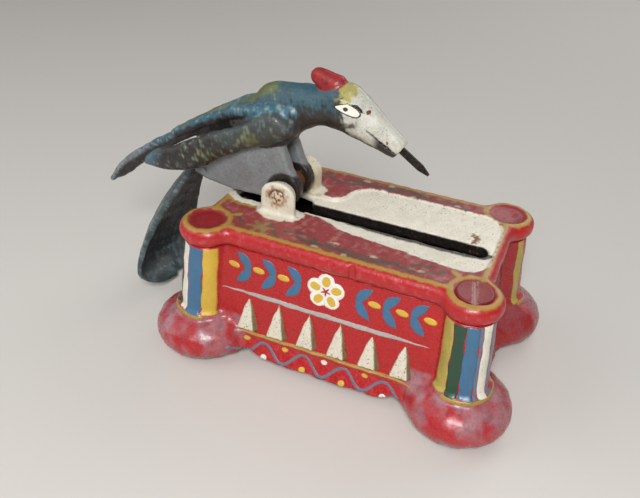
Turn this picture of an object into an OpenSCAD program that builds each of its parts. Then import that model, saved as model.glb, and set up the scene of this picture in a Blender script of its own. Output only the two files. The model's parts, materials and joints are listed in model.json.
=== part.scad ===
// Cast iron table box with a pivoting bird.
// A red footed box carries a top plate with a dished trough and a long slot. A two-part cast bird
// hangs on a pin between two lugs. Its tail paddle is the counterweight: press the head and the
// steel blade in the beak dips into the slot, let go and the bird swings back.
// Lengths are in millimetres. +Z is up, the slot runs along X and the beak points to +X.
// Inside the bird's modules the pivot is the origin, and the mid-plane is y = 0.

/* [Box] */
// Spacing of the corner discs along the box
disc_span_x = 130; // [105:1:160]
// Spacing of the corner discs across the box
disc_span_y = 71.4; // [59:0.1:86]
// Height of the deck above the table
deck_z = 72; // [60:0.5:88]
// Thickness of the cast walls
wall = 4; // [3:0.1:5]
// Setback of the wall's top edge, outwards from the disc centres
wall_out = 2.5; // [1:0.1:4]
// Sideways lean of the walls, per millimetre of height
wall_lean = 0.105; // [0:0.005:0.14]
// Radius of the corner columns at the top
column_r = 11; // [9:0.1:12]
// Height of the moulding ridge
ridge_z = 15.5; // [14:0.1:18]
// How far the skirt's foot stands out past the wall
skirt_out = 4.5; // [3:0.1:6]
// Gap under the skirt
skirt_z = 4.5; // [4:0.1:6]

/* [Feet] */
// Radius of each foot in plan
foot_r = 25.5; // [21:0.1:28]
// Height of each foot's widest point
foot_z = 9.7; // [8:0.1:12]
// Half height of the ball that each foot is cut from
foot_rz = 14.5; // [12:0.1:17]
// How far the feet stand out from the disc centres
foot_out = 2.4; // [1:0.1:4]

/* [Teeth on the long walls] */
// Number of raised teeth on each long wall
teeth = 6; // [3:1:7]
// Spacing of the teeth
tooth_pitch = 16; // [12:0.5:18]
// Width of a tooth at its foot
tooth_w = 10.5; // [8:0.1:11.5]
// Height of a tooth
tooth_h = 20; // [14:0.5:24]
// How far a tooth stands out of the wall
tooth_out = 2.5; // [1:0.1:3]

/* [Top plate] */
// Depth of the rolled rim
rim_h = 10; // [8:0.1:13]
// Thickness of the deck
deck_t = 5; // [4.5:0.1:6]
// Radius of the corner lobes
lobe_r = 13.5; // [12.5:0.1:15]
// Distance of the straight edges outside the disc centres
edge_out = 5.5; // [4.5:0.1:7]
// Radius of the sunk discs
disc_r = 8.6; // [7:0.1:9.5]
// Depth of the sunk discs
disc_depth = 2; // [1:0.1:2.5]

/* [Trough and slot] */
// Width of the trough
trough_w = 52; // [40:0.5:56]
// Depth of the trough at the slot's edge
trough_depth = 3; // [2:0.1:3.4]
// Width of the slot
slot_w = 9.4; // [7.5:0.1:11.4]
// Distance from the pivot to the start of the slot
slot_from_pivot = 22; // [18:0.5:28]
// Distance from the slot's far end to the disc centres at that end
slot_end_gap = 2; // [0:0.5:6]
// Gap between the lips round the slot and the box's top edge
lip_gap = 0.6; // [0.4:0.1:2]
// Thickness of the lips round the slot
lip_t = 2.5; // [1.5:0.1:3]
// Width of the opening under the bird
throat_w = 20.6; // [19:0.1:24]
// How far the opening runs past the pivot before it narrows to the slot
throat_past_pivot = 11; // [9:0.5:14]

/* [Pivot] */
// Distance from the near disc centres to the pivot, along the box
pivot_from_disc = 28; // [24:0.5:33]
// Height of the pin above the deck
pivot_h = 9; // [8.5:0.1:11]
// Diameter of the pivot pin
pin_d = 6; // [5:0.1:7.2]
// Radial clearance of the bird's legs on the pin
pin_fit = 0.06; // [0.02:0.01:0.1]
// Radius of the lugs
lug_r = 9.5; // [8:0.1:11]
// Thickness of each lug
lug_t = 7; // [5:0.1:8.4]
// Gap between each leg and its lug
leg_gap = 0.5; // [0.3:0.1:1]
// Diameter of the peened ends of the pin
peen_d = 7.4; // [6.5:0.1:8.8]

/* [Bird] */
// Size of the bird's outline
bird_size = 1; // [0.85:0.01:1.05]
// Thickness of each leg
leg_t = 6; // [4:0.1:7.2]
// Space between the two legs
leg_space = 8; // [6:0.1:9.6]
// Radius of the leg's eye round the pin
leg_eye_r = 7.5; // [6.5:0.1:8]
// Thickness of the wings
wing_t = 4; // [3:0.1:5]
// Width of the long plume behind the back
plume_w = 7; // [5:0.1:8.4]

/* [Tail paddle] */
// Half width of the paddle at its foot
paddle_w = 26; // [20:0.5:31]
// Wall thickness of the paddle
paddle_t = 3.4; // [2.5:0.1:4]
// Depth of the paddle's hollow
paddle_bow = 8; // [5:0.5:10]
// Height of the paddle's end above the table
paddle_clear = 4; // [3:0.5:10]

/* [Blade] */
// Width of the steel blade
blade_w = 3.4; // [2.8:0.1:4.1]
// Thickness of the steel blade
blade_t = 1.2; // [1:0.1:1.5]
// Length of blade that shows outside the beak
blade_out = 17; // [14:0.5:20]
// Length of blade held in the beak
blade_in = 12; // [10:0.5:14]

/* [Rivets and screws] */
// Diameter of the rivets through the bird
rivet_d = 3.2; // [2.5:0.1:4]
// Diameter of the plate screws
screw_d = 4.4; // [4:0.1:5.3]
// Length of the plate screws under the head
screw_len = 24; // [18:1:28]
// Gap round a rivet, pin or screw in a fixed joint
fixed_fit = 0.04; // [0.02:0.01:0.08]

/* [Base] */
// Thickness of the base plate
base_t = 1.5; // [1:0.1:2]
// Clearance round the base plate
base_fit = 0.4; // [0.3:0.1:0.8]
// Width of the ledge that the base plate rests against
ledge = 3.5; // [3:0.1:5]
// Thickness of the turn buttons
button_t = 1.2; // [1:0.1:1.4]
// Reach of a turn button from its rivet
button_reach = 14; // [12:0.5:16]
// Width of a turn button
button_w = 9; // [8:0.1:9.5]

/* [Hidden] */

$fn = 48;
eps = 0.01;

red = "#c0202a";
blue = "#31586a";
grey = "#8f9496";
steel = "#6d6f72";

disc_x = disc_span_x / 2;
disc_y = disc_span_y / 2;
body_top = deck_z - rim_h;
edge_x = disc_x + edge_out;
edge_y = disc_y + edge_out;
foot_x = disc_x + foot_out;
foot_y = disc_y + foot_out;
column_foot_r = column_r + 1.5;
boss_r = screw_d / 2 + 4;

pivot_x = pivot_from_disc - disc_x;
pivot_z = deck_z + pivot_h;
slot_x0 = pivot_x + slot_from_pivot;
slot_x1 = disc_x - slot_end_gap;
throat_x0 = -disc_x - 2;
throat_x1 = pivot_x + throat_past_pivot;

leg_in = leg_space / 2;
leg_out = leg_in + leg_t;
lug_in = leg_out + leg_gap;
lug_out = lug_in + lug_t;
peen_h = 1.2;

flange_z = skirt_z + base_t + 0.1;
flange_t = 4;
cavity_z = flange_z + flange_t;
open_x = disc_x - 3;
open_y = disc_y - 3;
button_z = skirt_z - 0.3 - button_t;
button_y = open_y + ledge + base_fit + button_w / 2 + 0.6;
button_rivet_r = 2;

// The bird's outlines, as (x, z) from the pivot.
plume_tip = [-111, -26];
wing_outline = [[-74, 4], [-55, 17], [-37, 29.5], [-21, 39.5], [-11, 43.5], [-3, 42], [3, 36], [0, 28],
    [-18, 22], [-34, 12], [-42, 5], [-62, 1.5]];
plume_outline = [[0, 46], [-18, 36], [-35, 30], [-55, 20.5], [-74, 9], [-90, -2], [-103, -13], plume_tip,
    [-98, -19], [-84, -7], [-64, 7], [-45, 17], [-27, 22], [-10, 24]];
belly_outline = [[-50, 4], [-34, 14], [-18, 24], [-3, 27], [0, 15], [5, 6], [0, 0], [-12, -6.8],
    [-28, -6.4], [-44, -5], [-50.5, -2]];
chest_c = [-14, 28];
nape_c = [3, 41.5];
head_c = [26, 45];
beak_c = [52.6, 30];
beak_end = [53.2, 30.2];
beak_deg = 34;
crest_c = [12.5, 57];
rivet_head = [38, 46.5];
rivet_shoulder = [-14, 30];
rivet_paddle_upper = [-37, 6];
rivet_paddle_lower = [-45, 0];
blade_pin_back = 7;

// The bird's reach decides where the middle of the whole object lies.
bird_x0 = pivot_x + bird_size * plume_tip[0];
foot_x1 = foot_x + foot_r;
box_x = -(bird_x0 + foot_x1) / 2;

function at(p) = [bird_size * p[0], 0, bird_size * p[1]];
function wall_x(z) = disc_x + wall_out + wall_lean * (body_top - z);
function wall_y(z) = disc_y + wall_out + wall_lean * (body_top - z);

// A block whose four sides lean, from half sizes (x0, y0) at z0 to (x1, y1) at z1.
module leaning_block(z0, z1, x0, y0, x1, y1) {
    around = [[-1, -1], [1, -1], [1, 1], [-1, 1]];
    polyhedron(points = concat([for (c = around) [c[0] * x0, c[1] * y0, z0]],
            [for (c = around) [c[0] * x1, c[1] * y1, z1]]),
        faces = concat([[0, 1, 2, 3], [7, 6, 5, 4]],
            [for (i = [0:3]) let (j = (i + 1) % 4) [i, i + 4, j + 4, j]]));
}

// A bar with round ends between two points on the X axis.
module stadium(x0, x1, r) {
    translate([x0 + r, -r])
        square([x1 - x0 - 2 * r, 2 * r]);
    translate([x0 + r, 0])
        circle(r);
    translate([x1 - r, 0])
        circle(r);
}

// Places its children at the four corners, at (x, y) and its mirror images.
module corners(x, y) {
    for (sx = [-1, 1], sy = [-1, 1])
        translate([sx * x, sy * y, 0])
            children();
}

// A disc along Y, centred on the origin.
module y_disc(r, y0, y1) {
    translate([0, y0, 0])
        rotate([-90, 0, 0])
            cylinder(h = y1 - y0, r = r);
}

// Moves its children from the box's frame, or from the pivot, to the object's frame.
module in_box() {
    translate([box_x, 0, 0])
        children();
}

module in_bird() {
    translate([box_x + pivot_x, 0, pivot_z])
        children();
}

// ---------- box ----------

// A squashed ball, flat underneath.
module foot() {
    low = asin(foot_z / foot_rz);
    steps = 14;
    rotate_extrude()
        polygon(concat([[0, 0]],
            [for (i = [0:steps]) let (a = -low + (90 + low) * i / steps)
                [foot_r * cos(a), foot_z + foot_rz * sin(a)]]));
}

module column(sx, sy) {
    hull() {
        translate([sx * disc_x, sy * disc_y, body_top - 1])
            cylinder(h = 1, r = column_r, $fn = 32);
        translate([sx * foot_x, sy * foot_y, ridge_z - 2])
            cylinder(h = 1, r = column_foot_r, $fn = 32);
    }
}

// One raised tooth on the front wall, leaning with it.
module tooth() {
    z0 = ridge_z + 2;
    z1 = z0 + tooth_h;
    w = tooth_w / 2;
    polyhedron(points = [[-w, 1 - wall_y(z0), z0], [w, 1 - wall_y(z0), z0], [0, 1 - wall_y(z1), z1],
            [0, -tooth_out - wall_y(z0 + tooth_h / 4), z0 + tooth_h / 4]],
        faces = [[0, 1, 2], [0, 3, 1], [1, 3, 2], [2, 3, 0]]);
}

module cavity() {
    leaning_block(cavity_z, body_top + 1, wall_x(cavity_z) - wall, wall_y(cavity_z) - wall,
        wall_x(body_top + 1) - wall, wall_y(body_top + 1) - wall);
    translate([-open_x, -open_y, flange_z - 1])
        cube([2 * open_x, 2 * open_y, flange_t + 2]);
}

module base_recess() {
    x = open_x + ledge + base_fit;
    y = open_y + ledge + base_fit;
    translate([-x, -y, -1])
        cube([2 * x, 2 * y, flange_z + 1]);
}

module box_body() {
    color(red)
        in_box()
            difference() {
                union() {
                    difference() {
                        union() {
                            leaning_block(skirt_z, body_top, wall_x(skirt_z), wall_y(skirt_z),
                                wall_x(body_top), wall_y(body_top));
                            leaning_block(skirt_z, ridge_z, wall_x(ridge_z) + skirt_out,
                                wall_y(ridge_z) + skirt_out, wall_x(ridge_z) + 0.6, wall_y(ridge_z) + 0.6);
                            leaning_block(ridge_z - 1, ridge_z + 1.5, wall_x(ridge_z) + 1.3,
                                wall_y(ridge_z) + 1.3, wall_x(ridge_z) + 1, wall_y(ridge_z) + 1);
                        }
                        cavity();
                        base_recess();
                    }
                    difference() {
                        union() {
                            for (sx = [-1, 1], sy = [-1, 1])
                                column(sx, sy);
                            corners(foot_x, foot_y)
                                foot();
                        }
                        cavity();
                    }
                    corners(disc_x, disc_y)
                        translate([0, 0, body_top - screw_len])
                            cylinder(h = screw_len, r = boss_r);
                    for (i = [0:teeth - 1], turn = [0, 180])
                        rotate([0, 0, turn])
                            translate([(i - (teeth - 1) / 2) * tooth_pitch, 0, 0])
                                tooth();
                }
                corners(disc_x, disc_y)
                    translate([0, 0, deck_z - screw_len - 1])
                        cylinder(h = screw_len, r = screw_d / 2 + fixed_fit);
                for (s = [-1, 1])
                    translate([0, s * button_y, skirt_z - 1])
                        cylinder(h = 8, r = button_rivet_r + fixed_fit);
            }
}

module plate_outline(inset = 0) {
    square([2 * (edge_x - inset), 2 * (edge_y - inset)], center = true);
    corners(disc_x, disc_y)
        circle(lobe_r - inset);
}

// The trough in plan: wide over the slot, narrow where it runs back to the lugs.
module trough_outline() {
    r = trough_w / 2;
    x1 = slot_x1 + 3;
    corner_r = 16;
    translate([slot_x0, -r])
        square([x1 - corner_r - slot_x0, trough_w]);
    translate([slot_x0, corner_r - r])
        square([x1 - slot_x0, trough_w - 2 * corner_r]);
    for (s = [-1, 1])
        translate([x1 - corner_r, s * (r - corner_r)])
            circle(corner_r);
    translate([pivot_x, -slot_w])
        square([slot_x0 - pivot_x + 1, 2 * slot_w]);
}

module trough() {
    intersection() {
        translate([0, 0, deck_z - deck_t])
            linear_extrude(height = deck_t + 1)
                trough_outline();
        rotate([90, 0, 90])
            linear_extrude(height = 4 * disc_x, center = true)
                polygon([[-trough_w / 2, deck_z + eps], [-slot_w / 2, deck_z - trough_depth],
                    [slot_w / 2, deck_z - trough_depth], [trough_w / 2, deck_z + eps],
                    [trough_w / 2, deck_z + 2], [-trough_w / 2, deck_z + 2]]);
    }
}

module lug() {
    difference() {
        union() {
            translate([pivot_x, 0, pivot_z])
                y_disc(lug_r, lug_in, lug_out);
            translate([pivot_x - lug_r, lug_in, deck_z - deck_t])
                cube([2 * lug_r, lug_t, pivot_z - deck_z + deck_t]);
        }
        translate([pivot_x, 0, pivot_z])
            y_disc(pin_d / 2 + fixed_fit, lug_in - 1, lug_out + 1);
    }
}

module top_plate() {
    color(red)
        in_box()
            difference() {
                union() {
                    difference() {
                        translate([0, 0, body_top + eps])
                            linear_extrude(height = rim_h - eps)
                                plate_outline();
                        translate([0, 0, body_top - 1])
                            linear_extrude(height = rim_h - deck_t + 1)
                                square([2 * (disc_x - 3), 2 * (disc_y - 3)], center = true);
                    }
                    translate([0, 0, body_top + lip_gap])
                        linear_extrude(height = rim_h - trough_depth - lip_gap)
                            stadium(pivot_x, slot_x1 + lip_t, slot_w / 2 + lip_t);
                    lug();
                    mirror([0, 1, 0])
                        lug();
                }
                trough();
                translate([0, 0, body_top - 10])
                    linear_extrude(height = rim_h + 20) {
                        stadium(pivot_x, slot_x1, slot_w / 2);
                        stadium(throat_x0, throat_x1, throat_w / 2);
                    }
                corners(disc_x, disc_y)
                    translate([0, 0, deck_z - disc_depth])
                        cylinder(h = disc_depth + 1, r = disc_r);
                for (s = [-1, 1])
                    translate([-s * disc_x, s * disc_y, body_top - 1])
                        cylinder(h = rim_h + 2, r = screw_d / 2 + fixed_fit);
            }
}

// A slotted screw that fills the sunk disc: s is -1 for the front corner and 1 for the back one.
module plate_screw(s) {
    head_h = disc_depth - 0.6;
    color(red)
        in_box()
            translate([-s * disc_x, s * disc_y, deck_z - disc_depth + eps])
                difference() {
                    union() {
                        cylinder(h = head_h, r = disc_r - 0.3);
                        translate([0, 0, -screw_len + disc_depth])
                            cylinder(h = screw_len - disc_depth, r = screw_d / 2);
                    }
                    translate([-0.7, -disc_r, head_h - 0.7])
                        cube([1.4, 2 * disc_r, 1]);
                }
}

module plate_screw_front() {
    plate_screw(-1);
}

module plate_screw_back() {
    plate_screw(1);
}

module pivot_pin() {
    color(steel)
        in_bird()
            union() {
                y_disc(pin_d / 2, -lug_out, lug_out);
                y_disc(peen_d / 2, lug_out + eps, lug_out + peen_h);
                y_disc(peen_d / 2, -lug_out - peen_h, -lug_out - eps);
                y_disc(pin_d / 2 - 0.4, -lug_out - 0.5, lug_out + 0.5);
            }
}

module leg_spacer() {
    color(steel)
        in_bird()
            difference() {
                y_disc(pin_d / 2 + 2, -leg_in + eps, leg_in - eps);
                y_disc(pin_d / 2 + pin_fit, -leg_in, leg_in);
            }
}

// ---------- bird ----------

module bird_ball(c, r, flat = 1) {
    translate(at(c))
        scale([1, flat, 1])
            sphere(r = bird_size * r, $fn = 28);
}

// A flat plate with the outline's shape between y0 and y1.
module side_plate(outline, y0, y1) {
    translate([0, y1, 0])
        rotate([90, 0, 0])
            linear_extrude(height = y1 - y0)
                polygon([for (p = outline) bird_size * p]);
}

// Swept back from the shoulder and flared outwards towards its tip.
module wing() {
    flare = 7.5;
    rotate([0, 0, flare])
        side_plate(wing_outline, -leg_out - wing_t, -leg_out);
}

module beak_tip() {
    translate(at(beak_c))
        rotate([0, beak_deg, 0])
            cube([1, 9 * bird_size, 10 * bird_size], center = true);
}

module bird_form() {
    hull() {
        bird_ball(chest_c, 14, 0.9);
        bird_ball(nape_c, 9, 0.85);
    }
    hull() {
        bird_ball(nape_c, 9, 0.85);
        bird_ball(head_c, 11.8, 0.75);
    }
    hull() {
        bird_ball(head_c, 11.8, 0.75);
        beak_tip();
    }
    hull() {
        bird_ball(crest_c, 4);
        bird_ball([23, 53], 4);
    }
    side_plate(plume_outline, -plume_w / 2, plume_w / 2);
}

// Everything that both halves hold or turn on.
module bird_holes() {
    y_disc(pin_d / 2 + pin_fit, -leg_out - 1, leg_out + 1);
    for (p = [rivet_head, rivet_shoulder, rivet_paddle_upper, rivet_paddle_lower])
        translate(at(p))
            y_disc(rivet_d / 2 + fixed_fit, -30, 30);
    blade_space(fixed_fit);
}

module bird_half() {
    difference() {
        union() {
            intersection() {
                bird_form();
                translate([-200, -60, -100])
                    cube([400, 60, 300]);
            }
            wing();
            side_plate(belly_outline, -leg_out, -leg_in);
            y_disc(leg_eye_r, -leg_out, -leg_in);
        }
        bird_holes();
    }
}

module bird_front_half() {
    color(blue)
        in_bird()
            bird_half();
}

module bird_back_half() {
    color(blue)
        in_bird()
            mirror([0, 1, 0])
                bird_half();
}

// The blade's own frame: +X runs out along the blade, from the beak's end.
module on_blade() {
    translate(at(beak_end))
        rotate([0, beak_deg, 0])
            children();
}

module blade_space(gap) {
    on_blade()
        translate([-blade_in - gap, -blade_t / 2 - gap, -blade_w / 2 - gap])
            cube([blade_in + 2, blade_t + 2 * gap, blade_w + 2 * gap]);
    on_blade()
        translate([-blade_pin_back, 0, 0])
            y_disc(0.8 + gap, -10, 10);
}

module beak_blade() {
    tip = 5;
    color(steel)
        in_bird()
            on_blade()
                rotate([90, 0, 0])
                    difference() {
                        linear_extrude(height = blade_t, center = true)
                            polygon([[-blade_in, -blade_w / 2], [blade_out - tip, -blade_w / 2],
                                [blade_out, -0.4], [blade_out, 0.4], [blade_out - tip, blade_w / 2],
                                [-blade_in, blade_w / 2]]);
                        translate([-blade_pin_back, 0, -5])
                            cylinder(h = 10, r = 0.8 + fixed_fit);
                    }
}

module blade_pin() {
    color(steel)
        in_bird()
            on_blade()
                translate([-blade_pin_back, 0, 0])
                    y_disc(0.8, -bird_size * 5, bird_size * 5);
}

// A rivet across the bird at p, with a low head at each end.
module bird_rivet(p, half_len) {
    color(steel)
        in_bird()
            translate(at(p)) {
                y_disc(rivet_d / 2, -half_len, half_len);
            }
}

module head_rivet() {
    bird_rivet(rivet_head, 7.2 * bird_size);
}

module shoulder_rivet() {
    bird_rivet(rivet_shoulder, 13 * bird_size);
}

module paddle_rivet_upper() {
    bird_rivet(rivet_paddle_upper, leg_out + 0.5);
}

module paddle_rivet_lower() {
    bird_rivet(rivet_paddle_lower, leg_out + 0.5);
}

// ---------- tail paddle ----------

paddle_top = [-56, -3];
paddle_drop = pivot_z - paddle_clear + bird_size * paddle_top[1];
paddle_reach = 25;
rows = 18;
columns = 12;

// Half width at s, from 0 at the root to 1 at the foot: it widens, then closes in a round end.
function paddle_half(s) = let (grow = 5 + (paddle_w - 5) * sin(90 * min(1, s / 0.8)))
    s < 0.8 ? grow : grow * sqrt(max(0, 1 - pow((s - 0.8) / 0.205, 2)));

// A point of the paddle's outer face (depth 0) or inner face, at s down and t across, -1 to 1.
function paddle_point(s, t, depth) = let (half = paddle_half(s), thin = depth * (1 - 0.25 * s * s),
        hollow = (1 - t * t) * paddle_bow * sin(90 * min(1, half / paddle_w)),
        foot_curl = s > 0.8 ? 9 * pow((s - 0.8) / 0.2, 2) : 0)
    [bird_size * paddle_top[0] - paddle_reach * sin(90 * s) - hollow + foot_curl + thin, half * t,
        bird_size * paddle_top[1] - paddle_drop * s];

function paddle_face(depth) = [for (i = [0:rows], j = [0:columns])
    paddle_point(i / rows, 2 * j / columns - 1, depth)];

module paddle_shell() {
    n = columns + 1;
    inner = (rows + 1) * n;
    top = [for (j = [0:columns - 1]) [j, j + 1, inner + j + 1, inner + j]];
    foot = [for (j = [0:columns - 1]) let (a = rows * n + j) [a + 1, a, inner + a, inner + a + 1]];
    sides = [for (i = [0:rows - 1]) let (a = i * n, b = a + columns)
        each [[a, inner + a, inner + a + n, a + n], [b, b + n, inner + b + n, inner + b]]];
    faces = [for (i = [0:rows - 1], j = [0:columns - 1]) let (a = i * n + j)
        each [[a, a + n, a + n + 1, a + 1], [inner + a, inner + a + 1, inner + a + n + 1, inner + a + n]]];
    polyhedron(points = concat(paddle_face(0), paddle_face(paddle_t)),
        faces = concat(top, foot, sides, faces));
}

// The tongue is clamped between the bird's two halves.
tongue_outline = [[-34, 3], [-34, 9], [-40, 9], [-59, 0], [-60, -8], [-54, -8], [-50, -3.5], [-42, -4]];

module tail_paddle() {
    color(blue)
        in_bird()
            union() {
                paddle_shell();
                difference() {
                    side_plate(tongue_outline, -leg_in + 0.02, leg_in - 0.02);
                    for (p = [rivet_paddle_upper, rivet_paddle_lower])
                        translate(at(p))
                            y_disc(rivet_d / 2 + fixed_fit, -30, 30);
                }
            }
}

// ---------- base ----------

// Sheet steel, cut out round the feet, pushed up against the flange from below.
module base_plate() {
    x = open_x + ledge;
    y = open_y + ledge;
    color(grey)
        in_box()
            translate([0, 0, skirt_z])
                linear_extrude(height = base_t)
                    difference() {
                        square([2 * x, 2 * y], center = true);
                        corners(foot_x, foot_y)
                            circle(foot_r + base_fit);
                    }
}

// A turn button under the skirt: s is -1 at the front and 1 at the back.
module turn_button(s) {
    r = button_w / 2;
    color(steel)
        in_box()
            translate([0, s * button_y, button_z])
                linear_extrude(height = button_t)
                    difference() {
                        rotate([0, 0, -90 * s])
                            stadium(-r, button_reach, r);
                        circle(button_rivet_r + pin_fit);
                    }
}

module turn_button_front() {
    turn_button(-1);
}

module turn_button_back() {
    turn_button(1);
}

module button_rivet(s) {
    color(steel)
        in_box()
            translate([0, s * button_y, 0]) {
                translate([0, 0, button_z - 0.2])
                    cylinder(h = skirt_z + 7 - button_z, r = button_rivet_r);
                translate([0, 0, button_z - 1.5])
                    cylinder(h = 1.31, r1 = button_rivet_r + 0.8, r2 = button_rivet_r + 1.6);
            }
}

module button_rivet_front() {
    button_rivet(-1);
}

module button_rivet_back() {
    button_rivet(1);
}

box_body();
top_plate();
plate_screw_front();
plate_screw_back();
pivot_pin();
leg_spacer();
bird_front_half();
bird_back_half();
tail_paddle();
beak_blade();
blade_pin();
head_rivet();
shoulder_rivet();
paddle_rivet_upper();
paddle_rivet_lower();
base_plate();
turn_button_front();
turn_button_back();
button_rivet_front();
button_rivet_back();
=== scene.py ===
"""Painted cast iron table box with a pecking bird on its lid.

The castings are surfaces of distance fields: each field is a formula for how far a point lies outside the
iron, in millimetres, and net() lays a mesh where it is zero. The brushed decoration is thin closed films of
paint that are pressed onto the same fields. Box fields work in the box's own millimetres, with the middle of
the box at x = 0. Bird fields work in millimetres from the pivot.
"""

import json
import math

import bpy
import numpy as np
from mathutils import Matrix, Vector


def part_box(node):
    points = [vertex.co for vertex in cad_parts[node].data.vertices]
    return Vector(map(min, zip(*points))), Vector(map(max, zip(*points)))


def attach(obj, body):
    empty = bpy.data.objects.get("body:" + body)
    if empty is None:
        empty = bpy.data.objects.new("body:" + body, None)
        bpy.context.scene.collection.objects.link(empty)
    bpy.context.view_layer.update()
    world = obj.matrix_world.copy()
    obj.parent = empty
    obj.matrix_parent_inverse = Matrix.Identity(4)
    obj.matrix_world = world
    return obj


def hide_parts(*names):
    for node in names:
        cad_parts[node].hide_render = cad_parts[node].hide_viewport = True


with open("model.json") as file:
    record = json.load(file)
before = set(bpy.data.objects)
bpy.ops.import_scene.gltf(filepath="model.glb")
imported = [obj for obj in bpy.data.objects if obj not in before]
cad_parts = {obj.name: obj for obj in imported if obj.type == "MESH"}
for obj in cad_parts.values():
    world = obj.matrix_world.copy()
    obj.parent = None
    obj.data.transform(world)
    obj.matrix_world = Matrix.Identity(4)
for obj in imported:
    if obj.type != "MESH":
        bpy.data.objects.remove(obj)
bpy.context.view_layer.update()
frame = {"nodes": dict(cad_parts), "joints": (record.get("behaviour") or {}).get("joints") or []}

MM = 0.001


# ---------- measures, from the frame ----------

def corners_mm(node):
    """Lowest and highest corner of a CAD node, in millimetres."""
    lo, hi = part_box(node)
    return np.array(lo) / MM, np.array(hi) / MM


joint_at = {j["name"]: np.array(j["pos_m"]) / MM for j in frame["joints"]}
plate_lo, plate_hi = corners_mm("top_plate")
body_hi = corners_mm("box_body")[1]
pin_hi = corners_mm("pivot_pin")[1]

PIVOT = joint_at["bird_tilt"]
BOX = np.array([(plate_lo[0] + plate_hi[0]) / 2, 0, 0])
PIVOT_X = PIVOT[0] - BOX[0]
button_lo, button_hi = corners_mm("turn_button_front")
BUTTON_AT = joint_at["button_front_turn"] - BOX
BUTTON_REACH = max(button_hi[1] - BUTTON_AT[1], BUTTON_AT[1] - button_lo[1]) + 0.8
BUTTON_TOP = button_hi[2] + 0.2

RIM_H = 10.0
RIM_ROLL = 4.6
NICK_X = 11.2
NICK_R = 2.2
LOBE_R = 13.5
EDGE_OUT = 5.5
DISC_R = 8.6
BODY_TOP = body_hi[2]
DECK = BODY_TOP + RIM_H
DISC_X = plate_hi[0] - BOX[0] - LOBE_R
DISC_Y = plate_hi[1] - LOBE_R
EDGE_X = DISC_X + EDGE_OUT
EDGE_Y = DISC_Y + EDGE_OUT

WALL = 4.0
LEAN = 0.105
WALL_OUT = 2.5
COLUMN_R = 11.0
COLUMN_FOOT_R = 12.5
RIDGE = 15.5
SKIRT_Z = 4.5
SKIRT_OUT = 0.5
SKIRT_FLARE = 4.2
ARCH_X = 39
ARCH_WIDE = 6
ARCH_RISE = 2.6
BEAD_R = 1.3
FLANGE_TOP = 10.1
SEAT_TOP = 6.1
SEAT_LEDGE = 3.9
BOSS_R = 6.2
BOSS_FOOT = 38.0
FOOT_R = 25.5
FOOT_Z = 9.7
FOOT_RZ = 14.5
FOOT_X = body_hi[0] - BOX[0] - FOOT_R
FOOT_Y = body_hi[1] - FOOT_R

TEETH = 6
TOOTH_PITCH = 16.0
TOOTH_W = 10.5
TOOTH_H = 16.8
TOOTH_Z = RIDGE + 3.2
TOOTH_OUT = 2.3

TROUGH_HALF = 26.0
TROUGH_X1 = DISC_X + 1.0
TROUGH_CORNER = 13.0
TROUGH_EDGE_DEEP = 1.3
TROUGH_DISH = 2.0
NARROW_HALF = 9.8
SLOT_HALF = 4.7
SLOT_LIP = 2.5
SLOT_X0 = PIVOT_X + 22.0
SLOT_X1 = DISC_X - 2.0
THROAT_HALF = 10.3
THROAT_X1 = PIVOT_X + 11.0
THROAT_X0 = -DISC_X - 2.0

LUG_R = 9.5
LUG_IN = 10.5
LUG_OUT = 17.5
LEG_IN = 4.0
LEG_OUT = 10.0
PIN_R = 3.0
DOME_R = 3.7
PIN_EYE_R = 8.1
PIN_GAP = 0.06
SPLIT_GAP = 0.07


# ---------- distance fields ----------

def merge(a, b, r=0.0):
    """Union of two fields. The corner between them is filled to a fillet of about r."""
    if r == 0.0:
        return np.minimum(a, b)
    h = np.maximum(r - np.abs(a - b), 0.0) / r
    return np.minimum(a, b) - h * h * r / 4


def meet(a, b, r=0.0):
    """Where both fields are solid, with the edge rounded by about r."""
    return -merge(-a, -b, r)


def take(a, b, r=0.0):
    """Field a with b cut away, with the edge rounded by about r."""
    return meet(a, -b, r)


def rod(p, a, b, ra, rb):
    """A round bar from a to b whose radius goes from ra to rb."""
    a, b = np.array(a, float), np.array(b, float)
    ab = b - a
    q = [p[i] - a[i] for i in range(3)]
    t = np.clip(sum(q[i] * ab[i] for i in range(3)) / (ab @ ab), 0, 1)
    gap = np.sqrt(sum((q[i] - ab[i] * t) ** 2 for i in range(3)))
    return gap - (ra + (rb - ra) * t)


def egg(p, c, radii):
    """A ball squashed to three radii, with its distance scaled by the slope."""
    q = [(p[i] - c[i]) / radii[i] for i in range(3)]
    k = np.sqrt(sum(v * v for v in q))
    g = np.sqrt(sum((q[i] / radii[i]) ** 2 for i in range(3)))
    return k * (k - 1) / np.maximum(g, 1e-6)


def track(u, v, points):
    """Distance in a plane to a line through the points."""
    best = np.full(np.broadcast(u, v).shape, 1e18)
    for (au, av), (bu, bv) in zip(points, points[1:]):
        eu, ev = bu - au, bv - av
        wu, wv = u - au, v - av
        t = np.clip((wu * eu + wv * ev) / (eu * eu + ev * ev), 0, 1)
        best = np.minimum(best, (wu - eu * t) ** 2 + (wv - ev * t) ** 2)
    return np.sqrt(best)


def outline(u, v, points):
    """Signed distance to a closed outline in a plane, negative inside by the crossing rule."""
    closed = points + points[:1]
    inside = np.zeros(np.broadcast(u, v).shape, bool)
    for (au, av), (bu, bv) in zip(closed, closed[1:]):
        if av != bv:
            inside = inside ^ (((av <= v) != (bv <= v)) & (u < au + (bu - au) * (v - av) / (bv - av)))
    return np.where(inside, -1, 1) * track(u, v, closed)


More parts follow.
